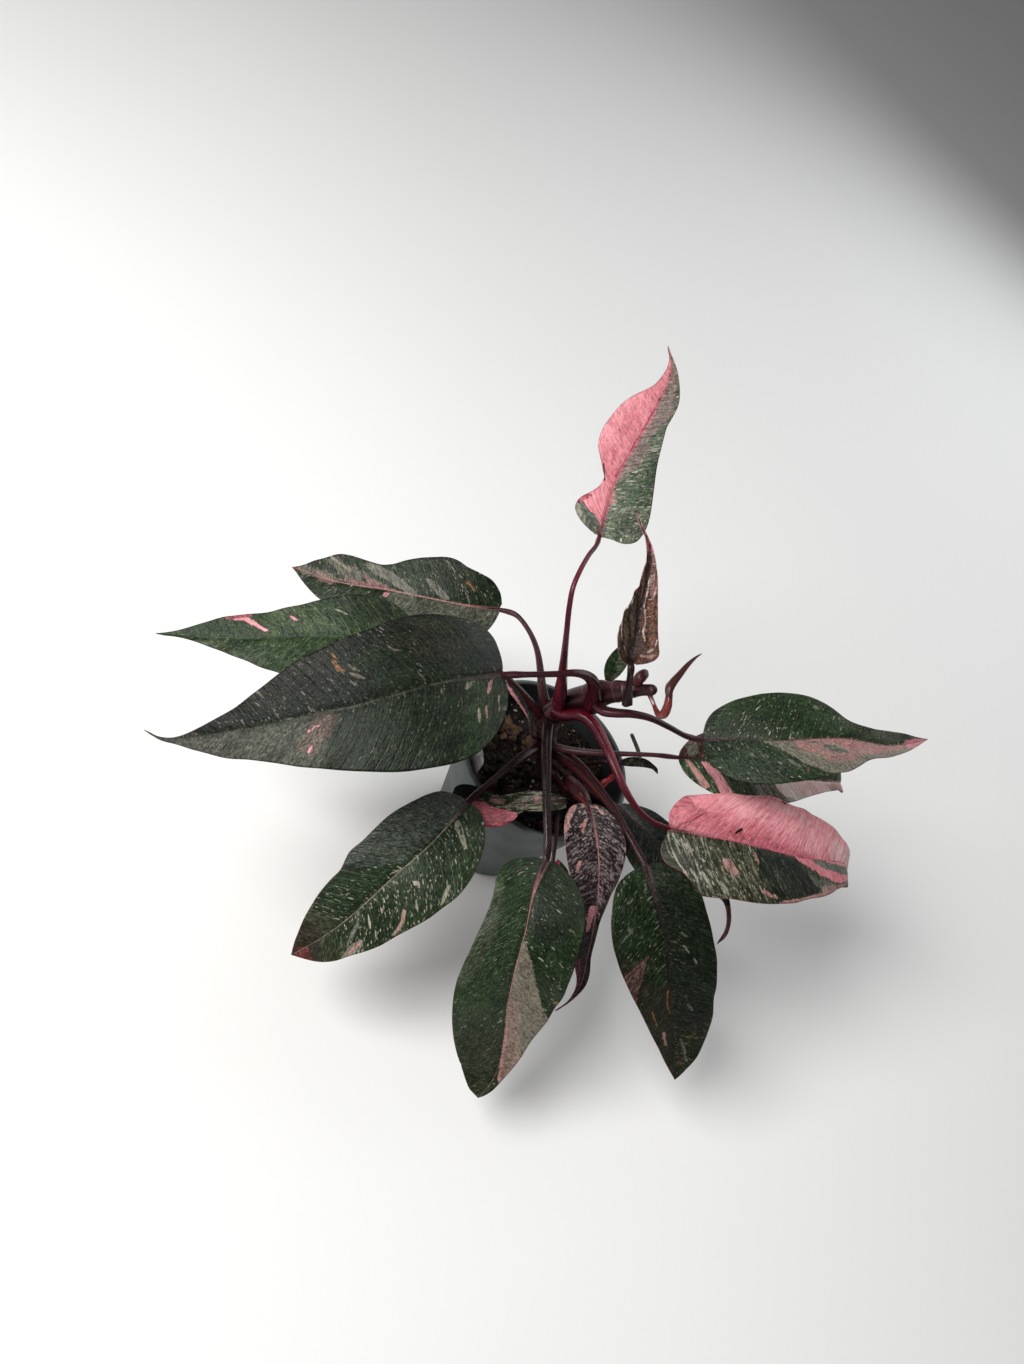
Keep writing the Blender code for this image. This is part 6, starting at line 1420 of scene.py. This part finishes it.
def build_stem():
    pts = stem_curve(260)
    n = len(pts)
    f = np.arange(n) / (n - 1)
    foot = pts[0].copy()
    foot[2] -= 0.012
    path = np.vstack([np.linspace(foot, pts[0], 12)[:-1], pts])
    fr = np.r_[np.zeros(11), f]
    width = [(545.5, 768, 6.0), (549, 722, 6.4), (560, 706, 7.1), (588, 696, 7.3), (606, 692, 6.9), (620, 690.5, 6.1),
             (628, 690.5, 5.3), (635, 690.5, 3.9), (643, 690.5, 3.3), (652, 690.5, 3.4), (660, 690, 3.3)]
    at = np.array([stem_place(pts, x, y)[2] for x, y, _ in width])
    at = np.maximum.accumulate(at + np.arange(len(at)) * 1e-6)
    R = np.interp(fr, at, [w * 0.001 for _, _, w in width])
    kern = np.hanning(21); kern /= kern.sum()
    R = np.convolve(np.r_[[R[0]] * 10, R, [R[-1]] * 10], kern, "valid")
    # swollen nodes, each with the scar of its leaf under it
    marks = [stem_place(pts, *STALKS[k][0])[2] for k in STALKS if STALKS[k][0] is not None]
    marks += [0.70, 0.80, 0.90]
    L = np.linalg.norm(np.diff(pts, axis=0), axis=1).sum()
    ring = np.zeros(len(fr))
    for m in marks:
        d = (fr - m) * L
        R = R * (1 + 0.05 * np.exp(-(d / 0.0030) ** 2)) + 0.00030 * np.exp(-((d + 0.0022) / 0.0005) ** 2)
        ring = np.maximum(ring, np.exp(-((d + 0.0015) / 0.00055) ** 2))
    tip = np.clip((1 - fr) * L / 0.0042, 0, 1)
    R = R * (np.sqrt(np.clip(1 - (1 - tip) ** 2, 0.02, 1)))
    rng = np.random.RandomState(11)
    lump = rng.rand(4) * 6.28

    def section(a, k):
        return 1 + 0.035 * np.sin(2 * a + lump[0] + 5 * k) + 0.022 * np.sin(3 * a + lump[1] - 7 * k) \
            + 0.008 * np.sin(9 * a + lump[2])

    verts, faces, attrs = sweep(path, R, np.array([0, -1.0, 0.2]), section)
    attrs["ring"] = np.r_[np.repeat(ring, 28), 0, 0]
    g = Nodes("stem_skin")
    c, s, run = g.split(g.attr_vec("around"))
    lines = g.noise(g.join(g.mul(c, 7.0), g.mul(s, 7.0), g.mul(run, 60.0)), 1.0, 3, 0.6)
    broad = g.noise(g.join(g.mul(c, 1.4), g.mul(s, 1.4), g.mul(run, 60.0)), 1.0, 2, 0.5)
    corky = g.noise(g.join(g.mul(c, 4.0), g.mul(s, 4.0), g.mul(run, 700.0)), 1.0, 3, 0.6)
    color = g.mix(g.step(g.m("MULTIPLY_ADD", lines, 0.5, g.mul(broad, 0.5)), 0.36, 0.66), (0.009, 0.003, 0.004),
                  (0.056, 0.010, 0.014))
    old = g.step(g.attr("along"), 0.10, 0.40, 1.0, 0.0)
    color = g.mix(g.mul(old, 0.8), color, g.mix(corky, (0.012, 0.008, 0.006), (0.070, 0.042, 0.028)))
    color = g.mix(g.mul(g.step(corky, 0.62, 0.74), 0.35), color, (0.120, 0.038, 0.036))
    color = g.mix(g.mul(g.attr("ring"), 0.45), color, (0.070, 0.034, 0.026))
    h = g.m("MULTIPLY_ADD", corky, 0.6, g.mul(lines, 0.6))
    mat = g.finish(color, g.m("MULTIPLY_ADD", broad, 0.2, 0.22), g.bump(h, 0.6, 0.0006), spec=0.36)
    ob = mesh_piece("climbing_stem", verts, faces, mat, attrs)
    return outward(ob), pts


def build_sheath():
    """Elbow sheath, the rolled leaf in it, and the bud under the tip."""
    out = []

    def run_of(name, pts, sec, tones, gloss, n=96, spec=0.34):
        line = smooth([at_z(*p[:3]) for p in pts], n)
        ctrl = np.array([at_z(*p[:3]) for p in pts])
        run = np.r_[0, np.cumsum(np.linalg.norm(np.diff(line, axis=0), axis=1))]
        near = [int(np.argmin(((line - c) ** 2).sum(1))) for c in ctrl]
        R = np.interp(run, run[np.maximum.accumulate(near)], [p[3] * 0.001 for p in pts])
        kern = np.hanning(13); kern /= kern.sum()
        R = np.convolve(np.r_[[R[0]] * 6, R, [R[-1]] * 6], kern, "valid")
        e = np.clip(np.minimum(run, run[-1] - run) / 0.0012, 0.0, 1.0)
        R = R * np.sqrt(np.clip(1 - (1 - e) ** 2, 0.03, 1))
        verts, faces, attrs = sweep(line, R, np.array([0, -0.7, 0.7]), sec)
        mat = stalk_material(name, tones, gloss, spec)
        out.append(outward(mesh_piece(name, verts, faces, mat, attrs)))

    off = lambda a, c: np.abs((a - c + math.pi) % (2 * math.pi) - math.pi)
    run_of("elbow_sheath",
           [(649, 692, 9.7, 1.9), (651.5, 699, 9.75, 1.35), (654.5, 706, 9.75, 1.25), (657, 711.5, 9.8, 1.5),
            (660.5, 715, 9.95, 2.2), (664.5, 713.5, 10.2, 2.7), (667, 707.5, 10.5, 2.6), (668.5, 700, 10.8, 2.2),
            (669.5, 693, 11.0, 1.75)],
           lambda a, k: 1 + 0.22 * np.exp(-(off(a, 0.4 + 2.0 * k) / 0.20) ** 2)
           + 0.20 * np.exp(-(off(a, 2.6 - 1.5 * k) / 0.22) ** 2) + 0.08 * np.sin(5 * a + 15 * k) * k,
           ((0.026, 0.004, 0.004), (0.190, 0.026, 0.019), (0.085, 0.012, 0.010)), 0.14, spec=0.8)
    run_of("rolled_leaf",
           [(668, 704, 10.6, 1.3), (669, 697, 10.95, 1.7), (669.5, 689.5, 11.15, 2.45), (672.5, 683, 11.3, 2.5),
            (679.5, 674.5, 11.6, 1.9), (687.5, 665, 11.9, 1.35), (694.5, 658.5, 12.1, 0.8), (702, 653.5, 12.3, 0.25)],
           lambda a, k: 0.94 + 0.20 * (((a + 5.5 * k) % (2 * math.pi)) / (2 * math.pi)),
           ((0.014, 0.006, 0.006), (0.120, 0.022, 0.024), (0.040, 0.014, 0.010)), 0.30)
    run_of("swollen_bud",
           [(634, 685, 9.5, 2.6), (637.5, 681, 9.75, 3.5), (641, 677, 9.95, 3.9), (644, 674.5, 10.0, 3.5),
            (647, 673, 10.0, 1.8)],
           lambda a, k: 1 + 0.10 * np.sin(2 * a + 3 * k) + 0.05 * np.sin(5 * a - 4 * k),
           ((0.026, 0.005, 0.007), (0.115, 0.014, 0.022), (0.080, 0.016, 0.018)), 0.30, 60)
    # dry stub beside leaf_18, sheath round the foot of leaf_08, red sprout at the stem's foot
    run_of("old_stub",
           [(640.5, 759, 2.7, 1.1), (638, 750, 3.1, 1.35), (634.5, 741, 3.4, 1.3), (631.3, 733.5, 3.65, 1.2)],
           lambda a, k: 1 + 0.05 * np.sin(3 * a), ((0.050, 0.046, 0.026), (0.200, 0.170, 0.120), (0.110, 0.095, 0.060)),
           0.6)
    run_of("clasping_sheath",
           [(568, 776, 0.8, 2.0), (571, 782, 1.2, 4.0), (576, 789, 1.6, 5.0), (582, 797, 1.9, 5.0),
            (587, 805, 2.2, 3.2)],
           lambda a, k: 1 + 0.10 * np.sin(2 * a + 1) + 0.07 * np.sin(6 * a + 4 * k),
           ((0.012, 0.003, 0.004), (0.062, 0.010, 0.013), (0.030, 0.006, 0.008)), 0.30)
    run_of("red_sprout",
           [(596, 790, 0.2, 1.6), (601, 786, 0.7, 2.3), (604.5, 782, 1.0, 2.6), (607.5, 780.5, 1.2, 1.7),
            (611, 778, 1.35, 2.0), (614, 775, 1.5, 1.3)],
           lambda a, k: 1 + 0.10 * np.sin(3 * a + 6 * k), ((0.080, 0.005, 0.008), (0.330, 0.020, 0.028),
                                                          (0.200, 0.012, 0.018)), 0.25, 60)
    return out


# ------------------------------------------------------------------
# pot, mix, label
# ------------------------------------------------------------------
def turned(profile, steps):
    """Closed body turned round the Z axis from a profile that starts and ends on it."""
    p = np.asarray(profile, float)
    a = np.arange(steps) / steps * 2 * math.pi
    body = p[1:-1]
    V = np.stack([body[:, None, 0] * np.cos(a), body[:, None, 0] * np.sin(a),
                  np.repeat(body[:, 1:2], steps, 1)], -1).reshape(-1, 3)
    verts = np.vstack([V, [[0, 0, p[0, 1]], [0, 0, p[-1, 1]]]])
    m, faces = len(body), []
    for i in range(m - 1):
        for j in range(steps):
            k = (j + 1) % steps
            faces.append((i * steps + j, i * steps + k, (i + 1) * steps + k, (i + 1) * steps + j))
    c0, c1 = len(V), len(V) + 1
    for j in range(steps):
        k = (j + 1) % steps
        faces.append((c0, k, j))
        faces.append((c1, (m - 1) * steps + j, (m - 1) * steps + k))
    return verts, faces


def arc(cx, cz, r, a0, a1, n):
    a = np.radians(np.linspace(a0, a1, n))
    return [(cx + r * math.cos(t), cz + r * math.sin(t)) for t in a]


def build_pot():
    H, W = POT_HEIGHT, POT_WALL
    lip = H - LIP_DEPTH
    prof = [(0.0, 0.0), (0.012, 0.0), (POT_BASE_R - 0.004, 0.0)]
    prof += arc(POT_BASE_R - 0.0014, 0.0014, 0.0014, -90, 0, 6)
    # wall in steps
    z0, z1 = 0.0022, lip - 0.0006
    for z in np.linspace(z0, z1, 26):
        r = POT_BASE_R + (POT_BODY_R - POT_BASE_R) * (z - 0.0012) / (lip - 0.0012)
        prof.append((r, z))
    prof += [(POT_BODY_R + 0.0002, lip - 0.0001)]
    prof += arc(POT_RIM_R - 0.0010, lip + 0.0010, 0.0010, -90, 0, 5)
    prof += arc(POT_RIM_R - 0.0013, H - 0.0013, 0.0013, 0, 90, 8)
    prof += arc(POT_RIM_R - 0.0030, H - 0.0009, 0.0009, 90, 175, 6)
    for z in np.linspace(H - 0.0025, FLOOR_THICK + 0.0022, 30):
        t = (z - FLOOR_THICK - 0.0012) / (lip - 0.0005 - FLOOR_THICK - 0.0012)
        r = POT_BASE_R - W + 0.0001 + (POT_BODY_R - POT_BASE_R - 0.0001) * min(t, 1.0)
        if t > 1:
            r += (t - 1) * 0.0012 / 0.06 * 0.6
        prof.append((r, z))
    prof += arc(POT_BASE_R - W - 0.0010, FLOOR_THICK + 0.0010, 0.0010, 0, -90, 5)
    prof += [(0.012, FLOOR_THICK), (0.0, FLOOR_THICK)]
    verts, faces = turned(prof, 176)
    g = Nodes("pot_shell")
    pos = g.coords()
    x, y, z = g.split(pos)
    fine = g.noise(pos, 1900.0, 3, 0.6)
    broad = g.noise(pos, 28.0, 3, 0.55)
    # grow lines of the mould round the wall, scuffs, a little dust on the lip
    ringn = g.noise(g.join(0.0, 0.0, g.mul(z, 900.0)), 1.0, 2, 0.5)
    color = g.mix(g.step(broad, 0.35, 0.68), (0.086, 0.100, 0.096), (0.132, 0.149, 0.143))
    # painted shade: the inside wall and floor are near-black, darker than the same plastic outside
    color = g.mix(g.mul(g.attr("inner"), 0.9), color, g.mix(fine, (0.005, 0.005, 0.007), (0.014, 0.013, 0.016)))
    scuff = g.noise(g.scale(pos, (900.0, 900.0, 160.0)), 1.0, 3, 0.65)
    color = g.mix(g.mul(g.step(scuff, 0.64, 0.74), 0.35), color, (0.16, 0.165, 0.16))
    dust = g.noise(pos, 420.0, 4, 0.7)
    color = g.mix(g.mul(g.step(dust, 0.60, 0.72), g.step(z, H - 0.030, H, 0.10, 0.5)), color, (0.11, 0.10, 0.088))
    h = g.m("MULTIPLY_ADD", fine, 0.5, g.mul(ringn, 0.4))
    mat = g.finish(color, g.m("MULTIPLY_ADD", broad, 0.16, 0.46), g.bump(h, 0.25, 0.0003), spec=0.24)
    ob = mesh_piece("moulded_pot", verts, faces, mat)
    outward(ob)
    # drain holes
    cutters = []
    for i in range(DRAIN_HOLES):
        a = 2 * math.pi * (i + 0.5) / DRAIN_HOLES + 0.047
        t = np.arange(28) / 28 * 2 * math.pi
        cx, cy = DRAIN_HOLE_PITCH_R * math.cos(a), DRAIN_HOLE_PITCH_R * math.sin(a)
        ringv = [(cx + DRAIN_HOLE_R * math.cos(u), cy + DRAIN_HOLE_R * math.sin(u)) for u in t]
        v = [(*p, -0.01) for p in ringv] + [(*p, 0.008) for p in ringv]
        f = [tuple(range(27, -1, -1)), tuple(range(28, 56))] + \
            [(k, (k + 1) % 28, 28 + (k + 1) % 28, 28 + k) for k in range(28)]
        me = bpy.data.meshes.new("cut%d" % i)
        me.from_pydata(v, [], f)
        c = bpy.data.objects.new("cut%d" % i, me)
        bpy.context.scene.collection.objects.link(c)
        outward(c)
        m = ob.modifiers.new("hole%d" % i, "BOOLEAN")
        m.operation, m.solver, m.object = "DIFFERENCE", "EXACT", c
        cutters.append(c)
    dg = bpy.context.evaluated_depsgraph_get()
    me = bpy.data.meshes.new_from_object(ob.evaluated_get(dg))
    ob.modifiers.clear()
    ob.data = me
    for c in cutters:
        bpy.data.objects.remove(c, do_unlink=True)
    me.materials.clear()
    me.materials.append(mat)
    me.polygons.foreach_set("use_smooth", [True] * len(me.polygons))
    co = np.empty(len(me.vertices) * 3, np.float32)
    me.vertices.foreach_get("co", co)
    co = co.reshape(-1, 3)
    # where the pot's inside is, for its painted shade
    wall = POT_BASE_R + (POT_BODY_R - POT_BASE_R) * (co[:, 2] - 0.0012) / (lip - 0.0012)
    wall = np.where(co[:, 2] > lip - 0.0005, POT_RIM_R - 0.0024, wall - 0.0006)
    inside = (np.hypot(co[:, 0], co[:, 1]) < wall) & (co[:, 2] > 0.0008)
    at = me.attributes.new("inner", "FLOAT", "POINT")
    at.data.foreach_set("value", inside.astype(np.float32))
    return ob


def mix_height(x, y):
    """Height of the mix over its level, a few millimetres of heaps."""
    r = np.hypot(x, y)
    h = 0.0016 * np.sin(x * 190 + 1.2) * np.cos(y * 170 - 0.6) + 0.0010 * np.sin(x * 410 + y * 330)
    h = h + 0.0024 * np.exp(-(r / 0.020) ** 2) - 0.0014 * np.exp(-((r - 0.044) / 0.008) ** 2)
    return h * np.clip((0.0545 - r) / 0.006, 0, 1)


def grains(seed, count, size, spread, flat, lift, places=None):
    """Rough chunks strewn over the mix, made as one mesh."""
    rng = np.random.RandomState(seed)
    import bmesh
    bm = bmesh.new()
    bmesh.ops.create_icosphere(bm, subdivisions=2, radius=1.0)
    base = np.array([v.co[:] for v in bm.verts])
    tri = [tuple(v.index for v in f.verts) for f in bm.faces]
    bm.free()
    verts, faces, tint, local = [], [], [], []
    for i in range(count):
        r = spread * math.sqrt(rng.rand())
        a = rng.rand() * 2 * math.pi
        x, y = r * math.cos(a), r * math.sin(a)
        if places:
            c = at_z(*places[i % len(places)], -1.6)
            x, y = c[0] + 0.0022 * rng.randn(), c[1] + 0.0022 * rng.randn()
            r = math.hypot(x, y)
        k = size[0] + (size[1] - size[0]) * rng.rand() ** 2.2
        dims = k * np.array([1.0, 0.45 + 0.4 * rng.rand(), flat * (0.6 + 0.8 * rng.rand())])
        dirs = units(rng.randn(7, 3))
        cutd = 0.52 + 0.34 * rng.rand(7)
        p = base.copy()
        for d, c in zip(dirs, cutd):
            over = np.maximum(p @ d - c, 0)
            p = p - over[:, None] * d
        p += 0.05 * rng.randn(*p.shape)
        loc = p.copy() + rng.rand(3) * 40
        p = p * dims
        e = Matrix.Rotation(rng.rand() * 6.28, 3, "Z") @ Matrix.Rotation((rng.rand() - 0.5) * 1.5, 3, "X") @ \
            Matrix.Rotation((rng.rand() - 0.5) * 1.2, 3, "Y")
        p = p @ np.array(e).T
        if r + abs(p[:, :2]).max() > 0.0530:
            s = (0.0525 - abs(p[:, :2]).max()) / max(r, 1e-6)
            x, y = x * min(s, 1), y * min(s, 1)
        z = POT_HEIGHT - SOIL_DROP + float(mix_height(x, y)) + lift * k * (0.2 + 0.8 * rng.rand())
        faces += [tuple(q + len(verts) for q in t) for t in tri]
        verts += list(p + [x, y, z])
        tint += [rng.rand()] * len(p)
        local += list(loc)
    return np.array(verts), faces, {"tint": np.array(tint), "grainpos": np.array(local)}


def build_mix():
    out = []
    top, low = POT_HEIGHT - SOIL_DROP, FLOOR_THICK + 0.0003
    lip = POT_HEIGHT - LIP_DEPTH - 0.0005
    inner = lambda z: POT_BASE_R - POT_WALL + 0.0001 + (POT_BODY_R - POT_BASE_R - 0.0001) * \
        (z - FLOOR_THICK - 0.0012) / (lip - FLOOR_THICK - 0.0012) - 0.0004
    prof = [(0.0, low), (inner(low) - 0.0014, low), (inner(low + 0.0018), low + 0.0018)]
    prof += [(inner(z), z) for z in np.linspace(low + 0.006, top - 0.0008, 10)]
    prof += [(r, top) for r in np.linspace(inner(top) - 0.0004, 0.0004, 110)] + [(0.0, top)]
    verts, faces = turned(prof, 176)
    up = verts[:, 2] > top - 0.0003
    x, y = verts[:, 0], verts[:, 1]
    from mathutils import noise as mn
    rough = np.array([mn.fractal(Vector((float(a) * 420, float(b) * 420, 3.0)), 0.7, 2.0, 4) if u else 0.0
                      for a, b, u in zip(x, y, up)])
    verts[:, 2] += np.where(up, mix_height(x, y) + 0.0009 * rough - 0.0006, 0.0)
    g = Nodes("mix_body")
    pos = g.coords()
    n1, n2 = g.noise(pos, 700.0, 4, 0.65), g.noise(pos, 170.0, 3, 0.6)
    color = g.mix(g.step(g.m("MULTIPLY_ADD", n1, 0.6, g.mul(n2, 0.4)), 0.38, 0.66), (0.004, 0.003, 0.003),
                  (0.022, 0.014, 0.010))
    color = g.mix(g.step(n1, 0.64, 0.72, 0.0, 0.5), color, (0.065, 0.040, 0.026))
    mat = g.finish(color, 0.88, g.bump(n1, 0.9, 0.0012), spec=0.3)
    out.append(outward(mesh_piece("packed_mix", verts, faces, mat)))

    def grain_material(name, lo, hi, pale, rough):
        g = Nodes(name)
        p = g.attr_vec("grainpos")
        tint = g.attr("tint")
        fibre = g.noise(g.scale(p, (1.4, 6.0, 6.0)), 1.0, 4, 0.65)
        blot = g.noise(p, 2.2, 3, 0.6)
        c = g.mix(g.step(g.m("MULTIPLY_ADD", tint, 0.5, g.mul(fibre, 0.6)), 0.30, 0.85), lo, hi)
        c = g.mix(g.mul(g.step(blot, 0.58, 0.70), g.step(tint, 0.2, 0.9)), c, pale)
        return g.finish(c, g.m("MULTIPLY_ADD", blot, 0.2, rough), g.bump(fibre, 0.8, 0.0006), spec=0.35)

    bark = [(505, 722), (511, 728), (519, 736), (513, 741), (524, 745), (507, 735), (528, 741), (500, 727)]
    moss = [(585, 760), (590, 764), (595, 769), (589, 771), (597, 774), (584, 767), (575, 732), (572, 727)]
    spec = [("bark_chips", 31, 380, (0.0014, 0.0056), 0.0515, 0.34, 0.55, None,
             (0.004, 0.0025, 0.002), (0.040, 0.019, 0.012), (0.120, 0.070, 0.042), 0.66),
            ("mix_crumbs", 47, 1500, (0.0004, 0.0013), 0.0525, 0.75, 0.7, None,
             (0.005, 0.003, 0.003), (0.036, 0.022, 0.016), (0.160, 0.125, 0.095), 0.8),
            ("perlite", 59, 190, (0.0005, 0.0017), 0.0515, 0.85, 1.0, None,
             (0.20, 0.19, 0.17), (0.50, 0.48, 0.44), (0.62, 0.60, 0.56), 0.8),
            ("pale_bark", 67, 26, (0.0022, 0.0058), 0.0515, 0.28, 0.9, bark,
             (0.024, 0.012, 0.007), (0.140, 0.070, 0.032), (0.26, 0.15, 0.08), 0.6),
            ("moss", 71, 150, (0.0004, 0.0011), 0.0515, 0.9, 1.6, moss,
             (0.010, 0.012, 0.004), (0.060, 0.062, 0.020), (0.15, 0.14, 0.06), 0.8)]
    for name, seed, count, size, spread, flat, lift, places, lo, hi, pale, rough in spec:
        v, f, at = grains(seed, count, size, spread, flat, lift, places)
        ob = mesh_piece(name, v, f, grain_material(name + "_grain", lo, hi, pale, rough), at, smooth_shade=False)
        out.append(ob)
    # a few fibres of coir
    rng = np.random.RandomState(7)
    verts, faces, tint, local = [], [], [], []
    for i in range(90):
        a, r = rng.rand() * 6.28, 0.046 * math.sqrt(rng.rand())
        x, y = r * math.cos(a), r * math.sin(a)
        d = rng.rand() * 6.28
        run = 0.003 + 0.008 * rng.rand()
        t = np.linspace(0, 1, 9)
        bend = (rng.rand() - 0.5) * 2.4
        px = x + run * (t * math.cos(d) - bend * t * t * math.sin(d))
        py = y + run * (t * math.sin(d) + bend * t * t * math.cos(d))
        k = np.hypot(px, py)
        s = np.minimum(1, 0.052 / np.maximum(k, 1e-6))
        px, py = px * s, py * s
        pz = POT_HEIGHT - SOIL_DROP + mix_height(px, py) + 0.0012 + 0.0022 * np.sin(t * 3.1) * rng.rand()
        path = np.stack([px, py, pz], -1)
        tt = units(np.gradient(path, axis=0))
        sd = units(np.cross(tt, [0, 0, 1.0]))
        nn = np.cross(sd, tt)
        w = 0.00011 + 0.00012 * rng.rand()
        b0 = len(verts)
        for j in range(9):
            for u in range(5):
                ang = u / 5 * 2 * math.pi
                verts.append(path[j] + (sd[j] * math.cos(ang) + nn[j] * math.sin(ang)) * w * (1 - 0.6 * t[j]))
                tint.append(rng.rand() * 0.2 + 0.4)
                local.append((t[j] * 4 + i, math.cos(ang), math.sin(ang)))
        for j in range(8):
            for u in range(5):
                v2 = (u + 1) % 5
                faces.append((b0 + j * 5 + u, b0 + j * 5 + v2, b0 + j * 5 + 5 + v2, b0 + j * 5 + 5 + u))
        faces.append(tuple(b0 + u for u in range(4, -1, -1)))
        faces.append(tuple(b0 + 40 + u for u in range(5)))
    mat = grain_material("coir_grain", (0.040, 0.022, 0.012), (0.12, 0.070, 0.040), (0.22, 0.15, 0.09), 0.7)
    out.append(outward(mesh_piece("coir_fibres", np.array(verts), faces, mat,
                                  {"tint": np.array(tint), "grainpos": np.array(local)})))
    return out


def build_label():
    path = smooth(LABEL_PATH, 60)
    out = unit(np.array([path[-1][0], path[-1][1], 0.0]))
    side = np.array([-out[1], out[0], 0.0])
    t = units(np.gradient(path, axis=0))
    nrm = units(np.cross(side, t))
    run = np.r_[0, np.cumsum(np.linalg.norm(np.diff(path, axis=0), axis=1))]
    w = np.full(len(path), LABEL_WIDTH / 2)
    # pointed at the lower end, rounded at the upper
    w *= np.clip(0.15 + run / 0.012, 0, 1)
    e = np.clip((run[-1] - run) / 0.0030, 0, 1)
    w *= 0.62 + 0.38 * np.sqrt(1 - (1 - e) ** 2)
    m = 17
    c = np.linspace(-1, 1, m)
    dish = 0.0006 * (c ** 2)[None, :, None]
    P = path[:, None] + side * (w[:, None] * c)[..., None] + nrm[:, None] * dish
    th = LABEL_THICK * 0.5 * (1 - 0.6 * np.abs(c) ** 8)[None, :, None]
    top, low = P + nrm[:, None] * th, P - nrm[:, None] * th
    n = len(path)
    verts = np.vstack([top.reshape(-1, 3), low.reshape(-1, 3)])
    k, faces = n * m, []
    for i in range(n - 1):
        for j in range(m - 1):
            p = i * m + j
            faces += [(p, p + 1, p + m + 1, p + m), (k + p, k + p + m, k + p + m + 1, k + p + 1)]
        p, r = i * m, i * m + m - 1
        faces += [(p, p + m, k + p + m, k + p), (r, k + r, k + r + m, r + m)]
    for j in range(m - 1):
        p, r = j, (n - 1) * m + j
        faces += [(p, k + p, k + p + 1, p + 1), (r, r + 1, k + r + 1, k + r)]
    g = Nodes("label_sheet")
    pos = g.coords()
    x, y, z = g.split(pos)
    n1 = g.noise(pos, 900.0, 3, 0.6)
    n2 = g.noise(pos, 90.0, 3, 0.6)
    color = g.mix(g.step(n2, 0.35, 0.7), (0.70, 0.70, 0.67), (0.80, 0.80, 0.78))
    color = g.mix(g.mul(g.step(n1, 0.58, 0.70), g.step(z, 0.088, 0.112, 0.9, 0.08)), color, (0.16, 0.11, 0.08))
    mat = g.finish(color, g.m("MULTIPLY_ADD", n1, 0.12, 0.36), g.bump(n1, 0.15, 0.0002), spec=0.45)
    ob = mesh_piece("bare_label", verts, faces, mat)
    return outward(ob)


stem, stem_pts = build_stem()
show(stem, "main_stem")
for name in sorted(LEAVES):
    ob, blade = build_blade(name)
    show(ob, name + "_blade")
    show(build_stalk(name, blade, stem_pts), name + "_stalk")
for ob, node in zip(build_sheath(), ("new_leaf_sheath", "new_leaf_spike", "stem_bud", "dry_stub", "leaf_08_stalk",
                                     "main_stem")):
    show(ob, node)
show(build_pot(), "nursery_pot")
for i, ob in enumerate(build_mix()):
    show(ob, "potting_mix")
show(build_label(), "plant_label")

# ------------------------------------------------------------------
# floor, light, camera
# ------------------------------------------------------------------
g = Nodes("pale_floor")
n = g.noise(g.coords(), 3.0, 2, 0.5)
floor_mat = g.finish(g.mix(n, (0.86, 0.86, 0.85), (0.89, 0.89, 0.88)), 0.9, spec=0.2)
floor = mesh_piece("floor", [(-15, -15, 0), (15, -15, 0), (15, 15, 0), (-15, 15, 0)], [(0, 1, 2, 3)], floor_mat)


def area(name, place, aim, size, watts, tint=(1, 1, 1)):
    data = bpy.data.lights.new(name, "AREA")
    data.shape, data.size, data.energy, data.color = "DISK", size, watts, tint
    ob = bpy.data.objects.new(name, data)
    ob.location = place
    ob.rotation_euler = (Vector(aim) - Vector(place)).to_track_quat("-Z", "Y").to_euler()
    bpy.context.scene.collection.objects.link(ob)
    return ob


right, up_v, fwd = AXES
centre = np.array([0.0, 0.0, 0.12])
area("soft_key", tuple(centre + np.array([-0.482, -0.517, 0.707]) * 1.55), tuple(centre), 0.80, 30.0, (1.0, 0.99, 0.975))
area("soft_back", tuple(centre + np.array([0.217, 0.81, 0.545]) * 1.70), tuple(centre), 1.6, 11.0, (0.97, 0.99, 1.0))
world = bpy.data.worlds.new("soft_room")
bpy.context.scene.world = world
world.use_nodes = True
bg = world.node_tree.nodes["Background"]
bg.inputs[0].default_value = (0.97, 0.98, 1.0, 1)
bg.inputs[1].default_value = 0.15

cam_data = bpy.data.cameras.new("camera")
cam_data.sensor_fit = "VERTICAL"
cam_data.sensor_height = 36.0
cam_data.lens = VIEW_F / 1364 * 36.0
cam_data.clip_start, cam_data.clip_end = 0.01, 100.0
cam = bpy.data.objects.new("camera", cam_data)
bpy.context.scene.collection.objects.link(cam)
mat4 = Matrix.Identity(4)
for col, axis in enumerate((AXES[0], AXES[1], -AXES[2])):
    for row in range(3):
        mat4[row][col] = axis[row]
for row in range(3):
    mat4[row][3] = EYE[row]
cam.matrix_world = mat4
bpy.context.scene.camera = cam
bpy.context.scene.view_settings.view_transform = "Standard"

# box round every shown piece
bpy.context.view_layer.update()
lo, hi = np.full(3, 1e9), np.full(3, -1e9)
for ob in bpy.context.scene.objects:
    if ob.type == "MESH" and ob is not floor and not ob.hide_render and len(ob.data.vertices):
        co = np.empty(len(ob.data.vertices) * 3, np.float32)
        ob.data.vertices.foreach_get("co", co)
        w = co.reshape(-1, 3) @ np.array(ob.matrix_world.to_3x3()).T + np.array(ob.matrix_world.translation)
        lo, hi = np.minimum(lo, w.min(0)), np.maximum(hi, w.max(0))
